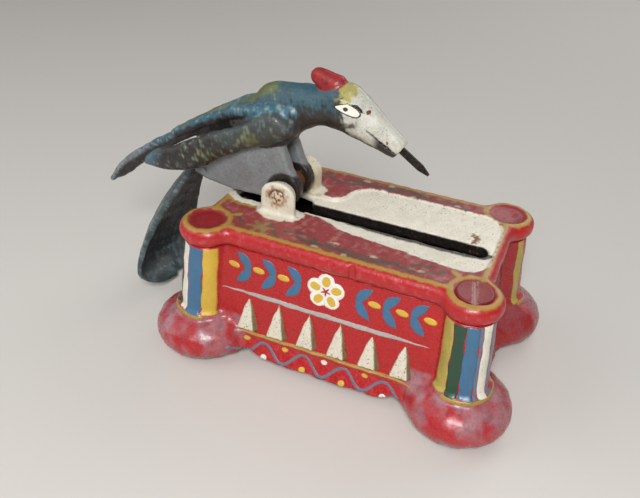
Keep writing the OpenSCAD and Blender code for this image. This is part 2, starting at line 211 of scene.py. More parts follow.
def bent(x, knots):
    """A smooth curve through knots (x, value), in cubic pieces that share their slope where they meet."""
    kx = np.array([k[0] for k in knots], float)
    ky = np.array([k[1] for k in knots], float)
    slope = np.gradient(ky, kx)
    x = np.clip(x, kx[0], kx[-1])
    i = np.clip(np.searchsorted(kx, x) - 1, 0, len(kx) - 2)
    h = kx[i + 1] - kx[i]
    t = (x - kx[i]) / h
    a = ky[i] * (1 + 2 * t) * (1 - t) ** 2 + ky[i + 1] * t * t * (3 - 2 * t)
    return a + h * (slope[i] * t * (1 - t) ** 2 - slope[i + 1] * t * t * (1 - t))


def rounded(qx, qy):
    """Distance to a corner block whose two faces are qx and qy away."""
    return np.hypot(np.maximum(qx, 0), np.maximum(qy, 0)) + np.minimum(np.maximum(qx, qy), 0)


def stadium(x, y, x0, x1, r):
    """Distance in plan to a bar with round ends along X."""
    return np.hypot(np.maximum(np.maximum(x0 + r - x, x - x1 + r), 0), y) - r


rng = np.random.default_rng(11)
WAVES = rng.normal(size=(12, 3))
PHASES = rng.uniform(0, 2 * math.pi, 12)


def cloud(p, size):
    """Random clouds from about -1 to 1: sine waves in seeded directions, with patches about size wide."""
    scale = math.pi / size
    waves = [np.sin((p[0] * w[0] + p[1] * w[1] + p[2] * w[2]) * scale + s) for w, s in zip(WAVES, PHASES)]
    return sum(waves) / 3.0


def casting_skin(p):
    """The slight waviness of a sand casting under thick paint."""
    return 0.16 * cloud(p, 7.0) + 0.05 * cloud(p, 2.4)


# ---------- meshes from fields ----------

def net(field, lo, hi, pitch):
    """Naive surface net: each cell of the lattice with a change of sign holds one point, the mean of the
    crossings on its edges, and each lattice edge with a change of sign holds one quad."""
    axes = [np.arange(a, b + pitch, pitch) for a, b in zip(lo, hi)]
    shape = tuple(len(a) for a in axes)
    d = np.broadcast_to(field(np.meshgrid(*axes, indexing="ij", sparse=True)), shape).astype(np.float32)
    cells = tuple(n - 1 for n in shape)
    total = np.zeros(cells + (3,), np.float32)
    count = np.zeros(cells, np.float32)
    crossed = []
    for axis in range(3):
        head = [slice(None)] * 3
        tail = [slice(None)] * 3
        head[axis] = slice(0, -1)
        tail[axis] = slice(1, None)
        a, b = d[tuple(head)], d[tuple(tail)]
        cross = (a < 0) != (b < 0)
        t = np.where(cross, a / np.where(cross, a - b, 1), 0)
        crossed.append((cross, a < 0))
        one, two = (axis + 1) % 3, (axis + 2) % 3
        for u in (0, 1):
            for v in (0, 1):
                part = [slice(None)] * 3
                part[one] = slice(u, u + cells[one])
                part[two] = slice(v, v + cells[two])
                c = cross[tuple(part)]
                total[..., axis] += t[tuple(part)]
                total[..., one] += c * u
                total[..., two] += c * v
                count += c
    filled = count > 0
    number = np.full(cells, -1)
    number[filled] = np.arange(filled.sum())
    points = (np.argwhere(filled) + total[filled] / count[filled][:, None]) * pitch + np.array(lo)
    quads = []
    for axis, (cross, starts_inside) in enumerate(crossed):
        one, two = (axis + 1) % 3, (axis + 2) % 3
        at = np.argwhere(cross)
        at = at[(at[:, one] > 0) & (at[:, two] > 0) & (at[:, one] < cells[one]) & (at[:, two] < cells[two])]
        rings = []
        for u, v in ((1, 1), (0, 1), (0, 0), (1, 0)):
            cell = at.copy()
            cell[:, one] -= u
            cell[:, two] -= v
            rings.append(number[cell[:, 0], cell[:, 1], cell[:, 2]])
        quad = np.stack(rings, 1)
        flip = ~starts_inside[at[:, 0], at[:, 1], at[:, 2]]
        quad[flip] = quad[flip][:, ::-1]
        quads.append(quad)
    points = settle(field, points, 2, pitch / 2)
    return points, np.concatenate(quads)


def slope_of(field, points, reach=0.06):
    """Gradient of a field at points, from central differences."""
    out = np.empty_like(points)
    for axis in range(3):
        step = np.zeros(3)
        step[axis] = reach
        out[:, axis] = (field((points + step).T) - field((points - step).T)) / (2 * reach)
    return out


def normals_of(field, points):
    g = slope_of(field, points)
    return g / np.maximum(np.linalg.norm(g, axis=1), 1e-6)[:, None]


def settle(field, points, rounds, most):
    """Moves points onto the surface with Newton steps along the gradient, none longer than most."""
    for _ in range(rounds):
        g = slope_of(field, points)
        step = g * (field(points.T) / np.maximum((g * g).sum(1), 0.05))[:, None]
        long = np.linalg.norm(step, axis=1)[:, None]
        points = points - step * np.minimum(1, most / np.maximum(long, 1e-9))
    return points


def build(name, points, faces, material, body, stands_for=(), paint=None, wear=None):
    """A Blender mesh of points in the row's millimetres, with its paint and wear as point attributes."""
    corners = points[faces]
    swept = np.cross(corners[:, 0] - corners[:, 2], corners[:, 1] - corners[:, -1])
    if np.sum(swept * corners.mean(axis=1)) < 0:
        faces = faces[:, ::-1]
    mesh = bpy.data.meshes.new(name)
    sides = faces.shape[1]
    mesh.vertices.add(len(points))
    mesh.vertices.foreach_set("co", (points * MM).astype(np.float32).ravel())
    mesh.loops.add(faces.size)
    mesh.loops.foreach_set("vertex_index", faces.astype(np.int32).ravel())
    mesh.polygons.add(len(faces))
    mesh.polygons.foreach_set("loop_start", np.arange(0, faces.size, sides, dtype=np.int32))
    mesh.update(calc_edges=True)
    mesh.validate()
    mesh.shade_smooth()
    if paint is not None:
        colour = mesh.color_attributes.new(name="paint", type="FLOAT_COLOR", domain="POINT")
        colour.data.foreach_set("color", np.column_stack([paint, np.ones(len(paint))]).ravel())
    if wear is not None:
        amount = mesh.attributes.new("wear", "FLOAT", "POINT")
        amount.data.foreach_set("value", np.clip(wear, 0, 1))
    piece = bpy.data.objects.new(name, mesh)
    bpy.context.scene.collection.objects.link(piece)
    mesh.materials.append(material)
    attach(piece, body)
    if stands_for:
        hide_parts(*stands_for)
    return piece


# ---------- the castings ----------

def wall_x(z):
    """Where the outer face of an end wall is at height z."""
    return DISC_X + WALL_OUT + LEAN * (BODY_TOP - z)


def wall_y(z):
    """Where the outer face of a long wall is at height z."""
    return DISC_Y + WALL_OUT + LEAN * (BODY_TOP - z)


def leaning_block(p, inset, z0, z1):
    """The four leaning walls, moved in by inset, between two heights."""
    x, y, z = p
    sides = np.maximum(np.abs(x) - wall_x(z) + inset, np.abs(y) - wall_y(z) + inset)
    return np.maximum(sides, np.maximum(z0 - z, z - z1))


def box_outside(p):
    """Walls, moulding ridge, hollow-curved skirt, corner columns and ball feet."""
    x, y, z = p
    ax, ay = np.abs(x), np.abs(y)
    walls = leaning_block(p, 0.0, RIDGE - 3, BODY_TOP)
    fall = np.clip((RIDGE - z) / (RIDGE - SKIRT_Z), 0, 1)
    out = SKIRT_OUT + SKIRT_FLARE * fall ** 1.5
    lower = SKIRT_Z + ARCH_RISE * np.exp(-((ax - ARCH_X) / ARCH_WIDE) ** 2) * (ay > DISC_Y)
    skirt = np.maximum(ax - wall_x(RIDGE) - out, ay - wall_y(RIDGE) - out) * 0.9
    skirt = meet(skirt, np.maximum(lower - z, z - RIDGE), 1.2)
    edge = np.maximum(ax - wall_x(RIDGE), ay - wall_y(RIDGE))
    bead = np.hypot(np.abs(edge + 1) - 1, z - RIDGE) - BEAD_R
    bead = np.where(edge > -6, bead, 9.0)
    d = merge(merge(walls, skirt, 1.0), bead, 1.2)
    q = (ax, ay, z)
    column = rod(q, (DISC_X, DISC_Y, BODY_TOP + 4), (FOOT_X, FOOT_Y, RIDGE - 1), COLUMN_R, COLUMN_FOOT_R)
    d = merge(d, column, 1.6)
    foot = egg(q, (FOOT_X, FOOT_Y, FOOT_Z), (FOOT_R - 0.35, FOOT_R - 0.35, FOOT_RZ - 0.2))
    d = merge(d, foot, 4.0)
    from_column = np.hypot(ax - FOOT_X, ay - FOOT_Y) - COLUMN_FOOT_R
    ring = np.hypot(from_column - 0.5, z - FOOT_Z - FOOT_RZ + 1.5) - 1.1
    return merge(d, ring, 2.0)


def box_inside(p):
    """The hollow: the room between the walls, the opening in the flange and the recess for the base plate."""
    x, y, z = p
    room = leaning_block(p, WALL, FLANGE_TOP, BODY_TOP + 9)
    half_x, half_y = DISC_X - 3, DISC_Y - 3
    hole = np.maximum(np.maximum(np.abs(x) - half_x, np.abs(y) - half_y), z - 12)
    beyond = np.maximum(np.abs(x) - half_x - SEAT_LEDGE, np.abs(y) - half_y - SEAT_LEDGE)
    seat = np.maximum(beyond, z - SEAT_TOP)
    return merge(merge(room, hole), seat)


def box_field(p):
    """The hollow box casting, with bosses for the plate screws and room for the turn buttons."""
    x, y, z = p
    d = take(box_outside(p) + casting_skin(p), box_inside(p), 0.8)
    boss = np.maximum(np.hypot(np.abs(x) - DISC_X, np.abs(y) - DISC_Y) - BOSS_R, BOSS_FOOT - z)
    d = merge(d, boss, 1.0)
    from_rivet = np.hypot(x - BUTTON_AT[0], np.abs(y) + BUTTON_AT[1])
    d = take(d, np.maximum(from_rivet - BUTTON_REACH, z - BUTTON_TOP), 0.3)
    return meet(meet(d, z - BODY_TOP + 0.05, 0.6), -z, 0.8)


def tooth_field(p):
    """A raised tooth seen from the front: a tall triangle whose face leans back to the wall at its point,
    cut narrower as it stands out. x is across the tooth, y out from the wall and z up from its foot."""
    x, y, z = p
    rise = np.clip(z / TOOTH_H, 0, 1)
    left = np.sign(1 - rise) * np.abs(1 - rise) ** 0.76
    face = y - TOOTH_OUT * left - 0.5
    flank = (np.abs(x + 0.25 * y) + 0.4 * y - TOOTH_W / 2 * left - 0.3) * 0.85
    lump = 0.1 * cloud((x, y, z), 3.5)
    return meet(meet(face, flank, 0.7), np.maximum(-z, -1.5 - y), 0.5) + lump


def plate_plan(x, y):
    """Distance in plan to the plate's edge: a rectangle with a round lobe blended in at each corner."""
    ax, ay = np.abs(x), np.abs(y)
    block = rounded(ax - EDGE_X, ay - EDGE_Y)
    lobe = np.hypot(ax - DISC_X, ay - DISC_Y) - LOBE_R
    return merge(block, lobe, 4.0)


def trough_plan(x, y):
    """Distance in plan to the trough: a wide round-cornered part, and a narrow part that runs back to the
    lugs, joined by a smooth shoulder. Its near edge runs slightly askew, as the pattern was cut by hand."""
    mid = (SLOT_X0 + 2 + TROUGH_X1) / 2
    qx = np.abs(x - mid) - (TROUGH_X1 - mid) + TROUGH_CORNER
    near_half = 14.6 + 0.115 * (x - SLOT_X0)
    far_half = TROUGH_HALF + 2.4
    qy = np.maximum(-y - near_half, y - far_half) + TROUGH_CORNER
    wide = rounded(qx, qy) - TROUGH_CORNER
    wide = np.maximum(wide, SLOT_X0 + 1.5 - x)
    narrow = np.maximum(np.abs(y) - NARROW_HALF, np.maximum(PIVOT_X - x, x - SLOT_X0 - 8))
    return merge(wide, narrow, 9.0)


def throat_plan(x, y):
    """Distance in plan to the opening under the bird."""
    return stadium(x, y, THROAT_X0, THROAT_X1, THROAT_HALF)


def slot_plan(x, y):
    """Distance in plan to the long slot."""
    return stadium(x, y, PIVOT_X, SLOT_X1, SLOT_HALF)


def plate_field(p):
    """Rolled rim, dished trough, slot and throat, sunk discs and the two lugs of the top plate."""
    x, y, z = p
    plan = plate_plan(x, y)
    half = np.abs(z - (DECK + BODY_TOP) / 2) - RIM_H / 2 + RIM_ROLL
    d = rounded(plan + RIM_ROLL, half) - RIM_ROLL
    dish = DECK - 0.35 + 0.35 * np.clip((plan + 8) / 3, 0, 1)
    d = meet(d, z - dish, 0.8)
    under = np.maximum(np.maximum(np.abs(x) - DISC_X + 3, np.abs(y) - DISC_Y + 3), z - DECK + 5)
    d = take(d, under, 0.5)
    lip = np.maximum(slot_plan(x, y) - SLOT_LIP, np.maximum(BODY_TOP + 0.6 - z, z - DECK + 2))
    d = merge(d, lip, 0.8)
    floor_z = DECK - TROUGH_EDGE_DEEP - TROUGH_DISH * (1 - np.clip(np.abs(y) / TROUGH_HALF, 0, 1))
    d = take(d, meet(trough_plan(x, y), floor_z - z, 0.8), 0.9)
    edge_wave = 0.12 * np.sin(x * 0.5) + 0.06 * np.sin(x * 1.3 + 1)
    holes = merge(slot_plan(x, y) + edge_wave * (np.abs(y) < 8), throat_plan(x, y))
    d = take(d, holes, 1.0)
    disc = np.hypot(np.abs(x) - DISC_X, np.abs(y) - DISC_Y)
    bowl = meet(disc - DISC_R, DECK - 1.5 + 0.6 * np.clip(disc / DISC_R, 0, 1) ** 2 - z, 0.8)
    d = take(d, bowl, 1.2)
    nick = np.hypot(x - NICK_X, (y + EDGE_Y + 1.2) * 0.8) - NICK_R
    d = take(d, np.maximum(nick, z - DECK - 1), 0.8)
    lx, lz = x - PIVOT_X, z - PIVOT[2]
    lug_r = LUG_R - 0.42 * np.clip(LUG_OUT - np.abs(y), 0, 7)
    eye = merge(np.hypot(lx, 1.16 * lz) - lug_r, np.maximum(np.abs(lx) - lug_r - 0.02 * lz, lz))
    cheek = np.abs(np.abs(y) - (LUG_IN + LUG_OUT) / 2) - (LUG_OUT - LUG_IN) / 2
    lug = meet(meet(eye, cheek, 1.8), DECK - 4 - z)
    return merge(d, lug, 2.6) + 0.55 * casting_skin(p)


def from_groove(x, y):
    """Distance from the middle of a plate screw's slot."""
    return np.abs(x * 0.97 + y * 0.24)


def screw_field(p):
    """A painted screw head in its sunk disc: a shallow dish with a slot across it."""
    x, y, z = p
    r = np.hypot(x, y)
    d = meet(r - DISC_R + 0.35, z - 1.3 - 0.45 * (r / DISC_R) ** 2, 0.7)
    d = take(d, np.maximum(from_groove(x, y) - 0.7, 0.75 - z), 0.3)
    return np.maximum(d, -z)


def pin_field(p):
    """The pivot pin with its ends hammered over into low domes."""
    x, y, z = p
    ay = np.abs(y)
    shaft = np.maximum(np.hypot(x, z) - PIN_R, ay - LUG_OUT - 0.4)
    half = pin_hi[1]
    dome = egg((x, ay, z), (0, LUG_OUT - 0.2, 0), (DOME_R, half - LUG_OUT + 0.2, DOME_R))
    return merge(shaft, np.maximum(dome, LUG_OUT - 0.3 - ay), 0.5) + 0.1 * cloud(p, 2.0)


PLUME_TOP = [(-111, -24), (-103, -13), (-90, -2), (-74, 9), (-55, 20.5), (-35, 30), (-18, 36), (2, 41)]
PLUME_UNDER = [(-111, -27.5), (-98, -19), (-84, -7), (-64, 7), (-45, 17), (-27, 22), (-10, 24), (2, 26)]
WING_TOP = [(-74, 4.5), (-65, 11.5), (-55, 16), (-37, 25), (-21, 32), (-11, 38), (-3, 40), (4, 35)]
WING_UNDER = [(-74, 3), (-62, 1.5), (-42, 6), (-34, 11), (-18, 20), (-6, 25), (4, 31)]
BELLY = [(-50, 4), (-42, 9.5), (-34, 14), (-18, 24), (-3, 27), (-1, 20), (2.5, 11), (5.5, 6), (4, -3),
    (-4, -5), (-12, -6.8), (-28, -6.4), (-44, -5), (-50.5, -2)]
BEAK_END = (53.2, 30.2)
BEAK_SLOPE = math.radians(34)
HEAD = (26, 45)
RIDGE_LINE = [(-66, 1.5, 13.0, 1.8), (-46, 4.5, 25.0, 2.6), (-29, 8.0, 34.0, 3.2), (-14, 9.6, 38.2, 3.6),
    (2, 7.0, 39.5, 3.4)]


def ridge_field(p):
    """The raised ridge that runs from each shoulder back along the plume, as a chain of round bars."""
    x, y, z = p
    q = (x, np.abs(y), z)
    d = np.full(np.shape(x), 99.0)
    for (x0, y0, z0, r0), (x1, y1, z1, r1) in zip(RIDGE_LINE[:-1], RIDGE_LINE[1:]):
        d = np.minimum(d, rod(q, (x0, y0, z0), (x1, y1, z1), r0, r1))
    return d


def plume_field(p):
    """The long plume along the back: thick and round at its upper ridge, thin at its lower edge."""
    x, y, z = p
    top, under = bent(x, PLUME_TOP), bent(x, PLUME_UNDER)
    share = np.clip((z - under) / np.maximum(top - under, 1), 0, 1)
    thick = 1.3 + (2.2 + 4.0 * np.clip((x + 66) / 46, 0, 1)) * share ** 1.5
    d = meet((z - top) * 0.8, (under - z) * 0.8, 1.0)
    d = meet(d, np.abs(y) - thick, 2.2)
    return np.maximum(d, np.maximum(-111 - x, x - 1))


def wing_field(p):
    """A wing: a leaf that flares outwards towards its tip and bulges between its upper and lower edges."""
    x, y, z = p
    top, under = bent(x, WING_TOP), bent(x, WING_UNDER)
    share = np.clip((z - under) / np.maximum(top - under, 1), 0, 1)
    middle = LEG_OUT + 1.2 - 0.125 * x + 2.6 * np.sin(math.pi * share) * np.clip((top - under) / 16, 0, 1)
    groove = 0.35 * np.sin((z * 0.85 + x * 0.5) * 1.15) * np.clip((-x - 12) / 20, 0, 1)
    d = meet((z - top) * 0.8, (under - z) * 0.8, 1.0)
    d = meet(d, np.abs(np.abs(y) - middle) - 2.3 + groove * 0.5, 2.4)
    return np.maximum(d, np.maximum(-71 - x, x - 4))


def above_beak(x, z):
    """Height above the beak's middle line, square to it."""
    return (x - BEAK_END[0]) * math.sin(BEAK_SLOPE) + (z - BEAK_END[1]) * math.cos(BEAK_SLOPE)


def crest_field(p):
    """The red crest: a round bar that overhangs the nape, with a thicker root."""
    bar = rod(p, (12, 0, 57), (20.5, 0, 54.4), 3.9, 4.9)
    return merge(bar, rod(p, (14.5, 0, 55), (18.5, 0, 51.5), 3.4, 4.2), 2.0)


def trunk_field(p):
    """Chest, shoulders, neck, head and beak as one chain of round bars, narrower than they are high."""
    x, y, z = p
    ay = np.abs(y)
    q = (x, y / 0.86, z)
    d = egg(p, (-15, 0, 29), (17, 12.6, 13.2))
    d = merge(d, egg(p, (-4, 0.5, 40), (15.5, 7.8, 11.4)), 4.0)
    d = merge(d, egg((x, ay, z), (-7, 8.0, 31.5), (12, 5.2, 7.6)), 4.0)
    d = merge(d, rod(q, (-8, 0, 34), (8, 0, 42.5), 11.0, 8.6), 5.0)
    d = merge(d, rod(q, (8, 0, 42.5), (22, 0, 45), 8.6, 9.4), 4.0)
    beak_tip = (BEAK_END[0] - 0.6, 0, BEAK_END[1] - 0.2)
    head = rod((x, y / 0.8, z), (HEAD[0], 0, HEAD[1]), beak_tip, 11.4, 5.1)
    d = merge(d, head, 4.0)
    cheek = egg((x, ay, z), (27, 7.2, 43.5), (6.5, 2.2, 4.5))
    d = merge(d, cheek, 2.0)
    brow = rod((x, ay, z), (25, 8.0, 51), (34, 6.2, 49), 1.5, 1.0)
    d = merge(d, brow, 2.0)
    end = (x - BEAK_END[0]) * math.cos(BEAK_SLOPE) - (z - BEAK_END[1]) * math.sin(BEAK_SLOPE)
    d = meet(d, end, 1.0)
    mouth = np.abs(above_beak(x, z) + 1.6)
    d = take(d, np.maximum(mouth - 0.35, np.maximum(38 - x, 0.6 - (ay - 2.0) * 0.6)), 0.5)
    return merge(d, crest_field(p), 0.9)


def leg_field(p):
    """The belly plate with its leg, and the eye round the pin."""
    x, y, z = p
    ay = np.abs(y)
    belly = outline(x, z, BELLY) - 0.4
    bulge = 1.6 * np.exp(-((x + 24) ** 2 + (z - 9) ** 2) / 190) * ease(np.hypot(x, z), 13, 20)
    inner, outer = LEG_IN, LEG_OUT - 0.35 + bulge
    plate = meet(belly, np.maximum(inner - ay, ay - outer), 2.4)
    eye = meet(np.hypot(x, z) - PIN_EYE_R, np.maximum(inner - ay, ay - LEG_OUT + 0.25), 1.2)
    return merge(plate, eye, 1.5)


def bird_field(p):
    """One half of the bird, on the side of negative y."""
    x, y, z = p
    d = merge(trunk_field(p), plume_field(p), 2.5)
    d = merge(d, ridge_field(p), 1.6)
    d = merge(d, wing_field(p), 2.2)
    d = merge(d, leg_field(p), 1.5)
    d = d + 0.8 * casting_skin(p)
    d = take(d, np.hypot(x, z) - PIN_R - PIN_GAP)
    return meet(d, y + SPLIT_GAP, 0.5)


# ---------- colours ----------

def linear(code):
    """Linear colour of an sRGB hex code."""
    c = np.array([int(code[i:i + 2], 16) for i in (1, 3, 5)]) / 255
    return np.where(c <= 0.04045, c / 12.92, ((c + 0.055) / 1.055) ** 2.4)


# Colours of the box.
RED = "#b30d12"
FOOT_RED = "#ad2a33"
SKIRT_RED = "#c9323c"
END_WALL_SHADE_RED = "#8e1519"
SOLE_RED = "#5a2a2c"
SCUFF = "#a67f86"
SCUFF_SHADE = "#6a4a4e"
INSIDE_SHADE_BLACK = "#241d1a"
BARE_CASTING = "#3a2a25"
TOOTH_CREAM = "#e2dac6"
TOOTH_OLIVE_SHADE = "#6f6128"
TOOTH_TAN_SHADE = "#a08a4a"

# Colours of the plate, its screws and the pin.
RIM_RED = "#b8171c"
RIM_PINK_HIGHLIGHT = "#d05a5e"
DECK_RED = "#94383a"
DECK_PINK = "#b27a72"
DARK_RED = "#7c1a1d"
DISC_RED = "#9a2228"
SCROLL_BROWN = "#544b3c"
STAR_OLIVE = "#8d7f3c"
FLECK_CREAM = "#cdb79a"
CREAM = "#efe8d6"
GOLD = "#b3923f"
RUST = "#7c4a22"
WORN_BLACK = "#2a2622"
SLOT_SHADE_BLACK = "#151412"
THROAT_SHADE_BLACK = "#1b1716"
CHIP_BROWN = "#2c1d1a"
LUG_CREAM = "#e3dcc8"
LUG_RUST = "#b07a50"
LUG_SHADOW = "#4a2c1c"
LUG_OLIVE = "#b9a24e"
SCREW_RED = "#8f2024"
SCREW_SLOT_HIGHLIGHT_PINK = "#b58f86"
PIN_CREAM = "#d8ccb0"
PIN_RUST = "#8a5a34"

# Colours of the bird.
FEATHER_GREY = "#2b2e2a"
TEAL = "#2c5c6b"
BLACK = "#16130f"
MOSS = "#666a36"
WING_GREY = "#3a4038"
WING_PALE = "#7f8c8c"
FLANK_BLACK = "#1d1f1c"
HUMP_GREEN = "#69743f"
TIP_BLUE = "#4f7684"
PLUME_SHADOW_BLACK = "#0f0f0f"
PLUME_TEAL = "#2f6779"
PLUME_GREEN = "#5c6a44"
PLUME_PALE = "#a3aaac"
RIDGE_SHADOW_BLACK = "#12110f"
RIDGE_TEAL = "#32697a"
RIDGE_HIGHLIGHT_PALE = "#9fb3b6"
BACK_GREEN = "#616c40"
BELLY_GREY = "#84888a"
HEAD_WHITE = "#d6d5c8"
JAW_BLACK_AND_SHADE = "#1d1a18"
CHEEK_BLACK = "#2a2624"
BEAK_BLACK = "#2b2826"
CROWN_YELLOW = "#b3a84a"
CREST_RED = "#a01315"
CREST_SHADE = "#5a1212"
CREST_UNDER_SHADE = "#3a1414"
PADDLE_GREY = "#3c4f52"
PADDLE_BLUE = "#5e7f86"
PADDLE_HOLLOW_SHADE = "#121212"
PADDLE_PALE = "#a9b4b2"
EYE_BLACK = "#1c1815"
EYE_WHITE = "#eeebdc"
EYE_BROWN = "#4a3428"

# Colours of the painted pattern.
LEAF_BLUE = "#3a6c90"
YELLOW = "#d9b23c"
PETAL_WHITE = "#f0ebe2"
CENTRE_RED = "#b3161a"
SILVER = "#b6b4ae"
SLATE = "#6d7488"
STRIPE_GREEN = "#16452f"
OLIVE = "#b7a44a"

# Colours of iron, stains, rust and the floor.
IRON = "#241f1d"
ENAMEL_SHADE = "#3a2420"
ENAMEL_LIGHT = "#f0e2d6"
STAIN_BROWN = "#6a4526"
RUST_BROWN = "#6b3a1c"
FLOOR_GREY = "#d4d0ca"


def ease(value, low, high):
    """0 below low, 1 above high, and a smooth step between."""
    t = np.clip((value - low) / (high - low), 0, 1)
    return t * t * (3 - 2 * t)


class Coats:
    """The colour of each point of a mesh, laid on coat by coat."""

    def __init__(self, count, code):
        self.colour = np.tile(linear(code), (count, 1))

    def lay(self, code, mask):
        """Lays a colour over the earlier ones where mask is 1."""
        self.colour = self.colour + (linear(code) - self.colour) * np.clip(mask, 0, 1)[:, None]


def paint_box(points, normals):
    """Colours of the box casting, from place and facing: red walls, scuffed feet, dark bare insides, and
    painted shade on the end walls and inside under the throat.
    """
    p = points.T
    x, y, z = p
    spots = cloud(p, 5.0)
    fine = cloud(p, 1.9)
    paint = Coats(len(points), RED)
    from_foot = np.hypot(np.abs(x) - FOOT_X, np.abs(y) - FOOT_Y)
    foot = ease(25.5 - z, 0, 2.5) * ease(30 - from_foot, 0, 8)
    paint.lay(FOOT_RED, foot * 0.7)
    broad = cloud(p, 9.0)
    scuffed = foot * ease(0.8 * broad + 0.35 * spots + 0.25 * fine + 0.05 * (z - 10), -0.9, 1.3)
    paint.lay(SCUFF, scuffed * 0.78)
    paint.lay(SCUFF_SHADE, foot * ease(cloud(p, 3.1) + 0.5 * broad, 0.2, 1.8) * 0.4)
    paint.lay(SOLE_RED, foot * ease(6 - z + 2 * spots, 0, 5) * 0.5)
    skirt = ease(RIDGE + 1 - z, 0, 2) * (1 - foot)
    paint.lay(SKIRT_RED, skirt * ease(fine, 0, 1) * 0.6)
    # Painted shade: both end walls are laid over with a darker red.
    end = ease(np.abs(x) - wall_x(z), -1.5, 0) * (np.abs(y) < DISC_Y - 4)
    paint.lay(END_WALL_SHADE_RED, end * 0.7)
    hidden = ease(-box_outside(p), 1.2, 2.4)
    paint.lay(BARE_CASTING, hidden)
    paint.lay(BARE_CASTING, ease(1.2 - z, 0, 0.6))
    # Painted shade: the inside of the box under the throat is darkened to near black.
    behind_throat = (np.abs(y) < 11.5) * (x < 0) * (np.abs(x) < wall_x(z) - 1.2)
    paint.lay(INSIDE_SHADE_BLACK, behind_throat * ease(z, DECK - 16, DECK - 13))
    wear = 0.16 + 0.1 * foot + 0.22 * skirt + 0.6 * hidden
    return paint.colour, wear


def paint_tooth(points, normals):
    """Cream face, with painted olive shade on the flank that looks to +X and painted tan shade on the flank
    that looks to -X.
    """
    paint = Coats(len(points), TOOTH_CREAM)
    paint.lay(TOOTH_OLIVE_SHADE, ease(normals[:, 0], 0.3, 0.6) * 0.9)
    paint.lay(TOOTH_TAN_SHADE, ease(-normals[:, 0], 0.5, 0.8) * 0.5)
    paint.lay(RED, ease(0.25 - points[:, 1], 0, 0.35))
    return paint.colour, np.full(len(points), 0.52)


SCROLLS = [
    [(-33, -30.5), (-27, -27.4), (-20.8, -27.2), (-15, -29.5), (-13.5, -32), (-17, -33.6), (-21.5, -32.2)],
    [(-24, -31), (-16, -32.4), (-8.5, -32.4), (0, -31.2), (9, -31.6), (18, -31), (25, -31.5)],
    [(-10, -30), (-4, -31.8), (4, -34.4), (14, -34), (22, -32.2)],
    [(24, -31), (29.4, -33.2), (36, -32.6), (42, -29.6), (45.5, -27.2), (41, -25.6), (35, -26.6), (31, -29)],
    [(-57, -26.5), (-53.5, -30.4), (-50.2, -34.5)],
    [(-39.5, -26.5), (-37, -30.4), (-33.4, -34.3)],
]
STAR_X = -44.8
STAR_Y = -31
STAR_ANGLES = (0.15, 1.2, 2.25)
FLECKS = [(-2, -27.8), (-9.5, -34.5), (40, -31.5), (4.5, -35.2), (17.3, -30)]


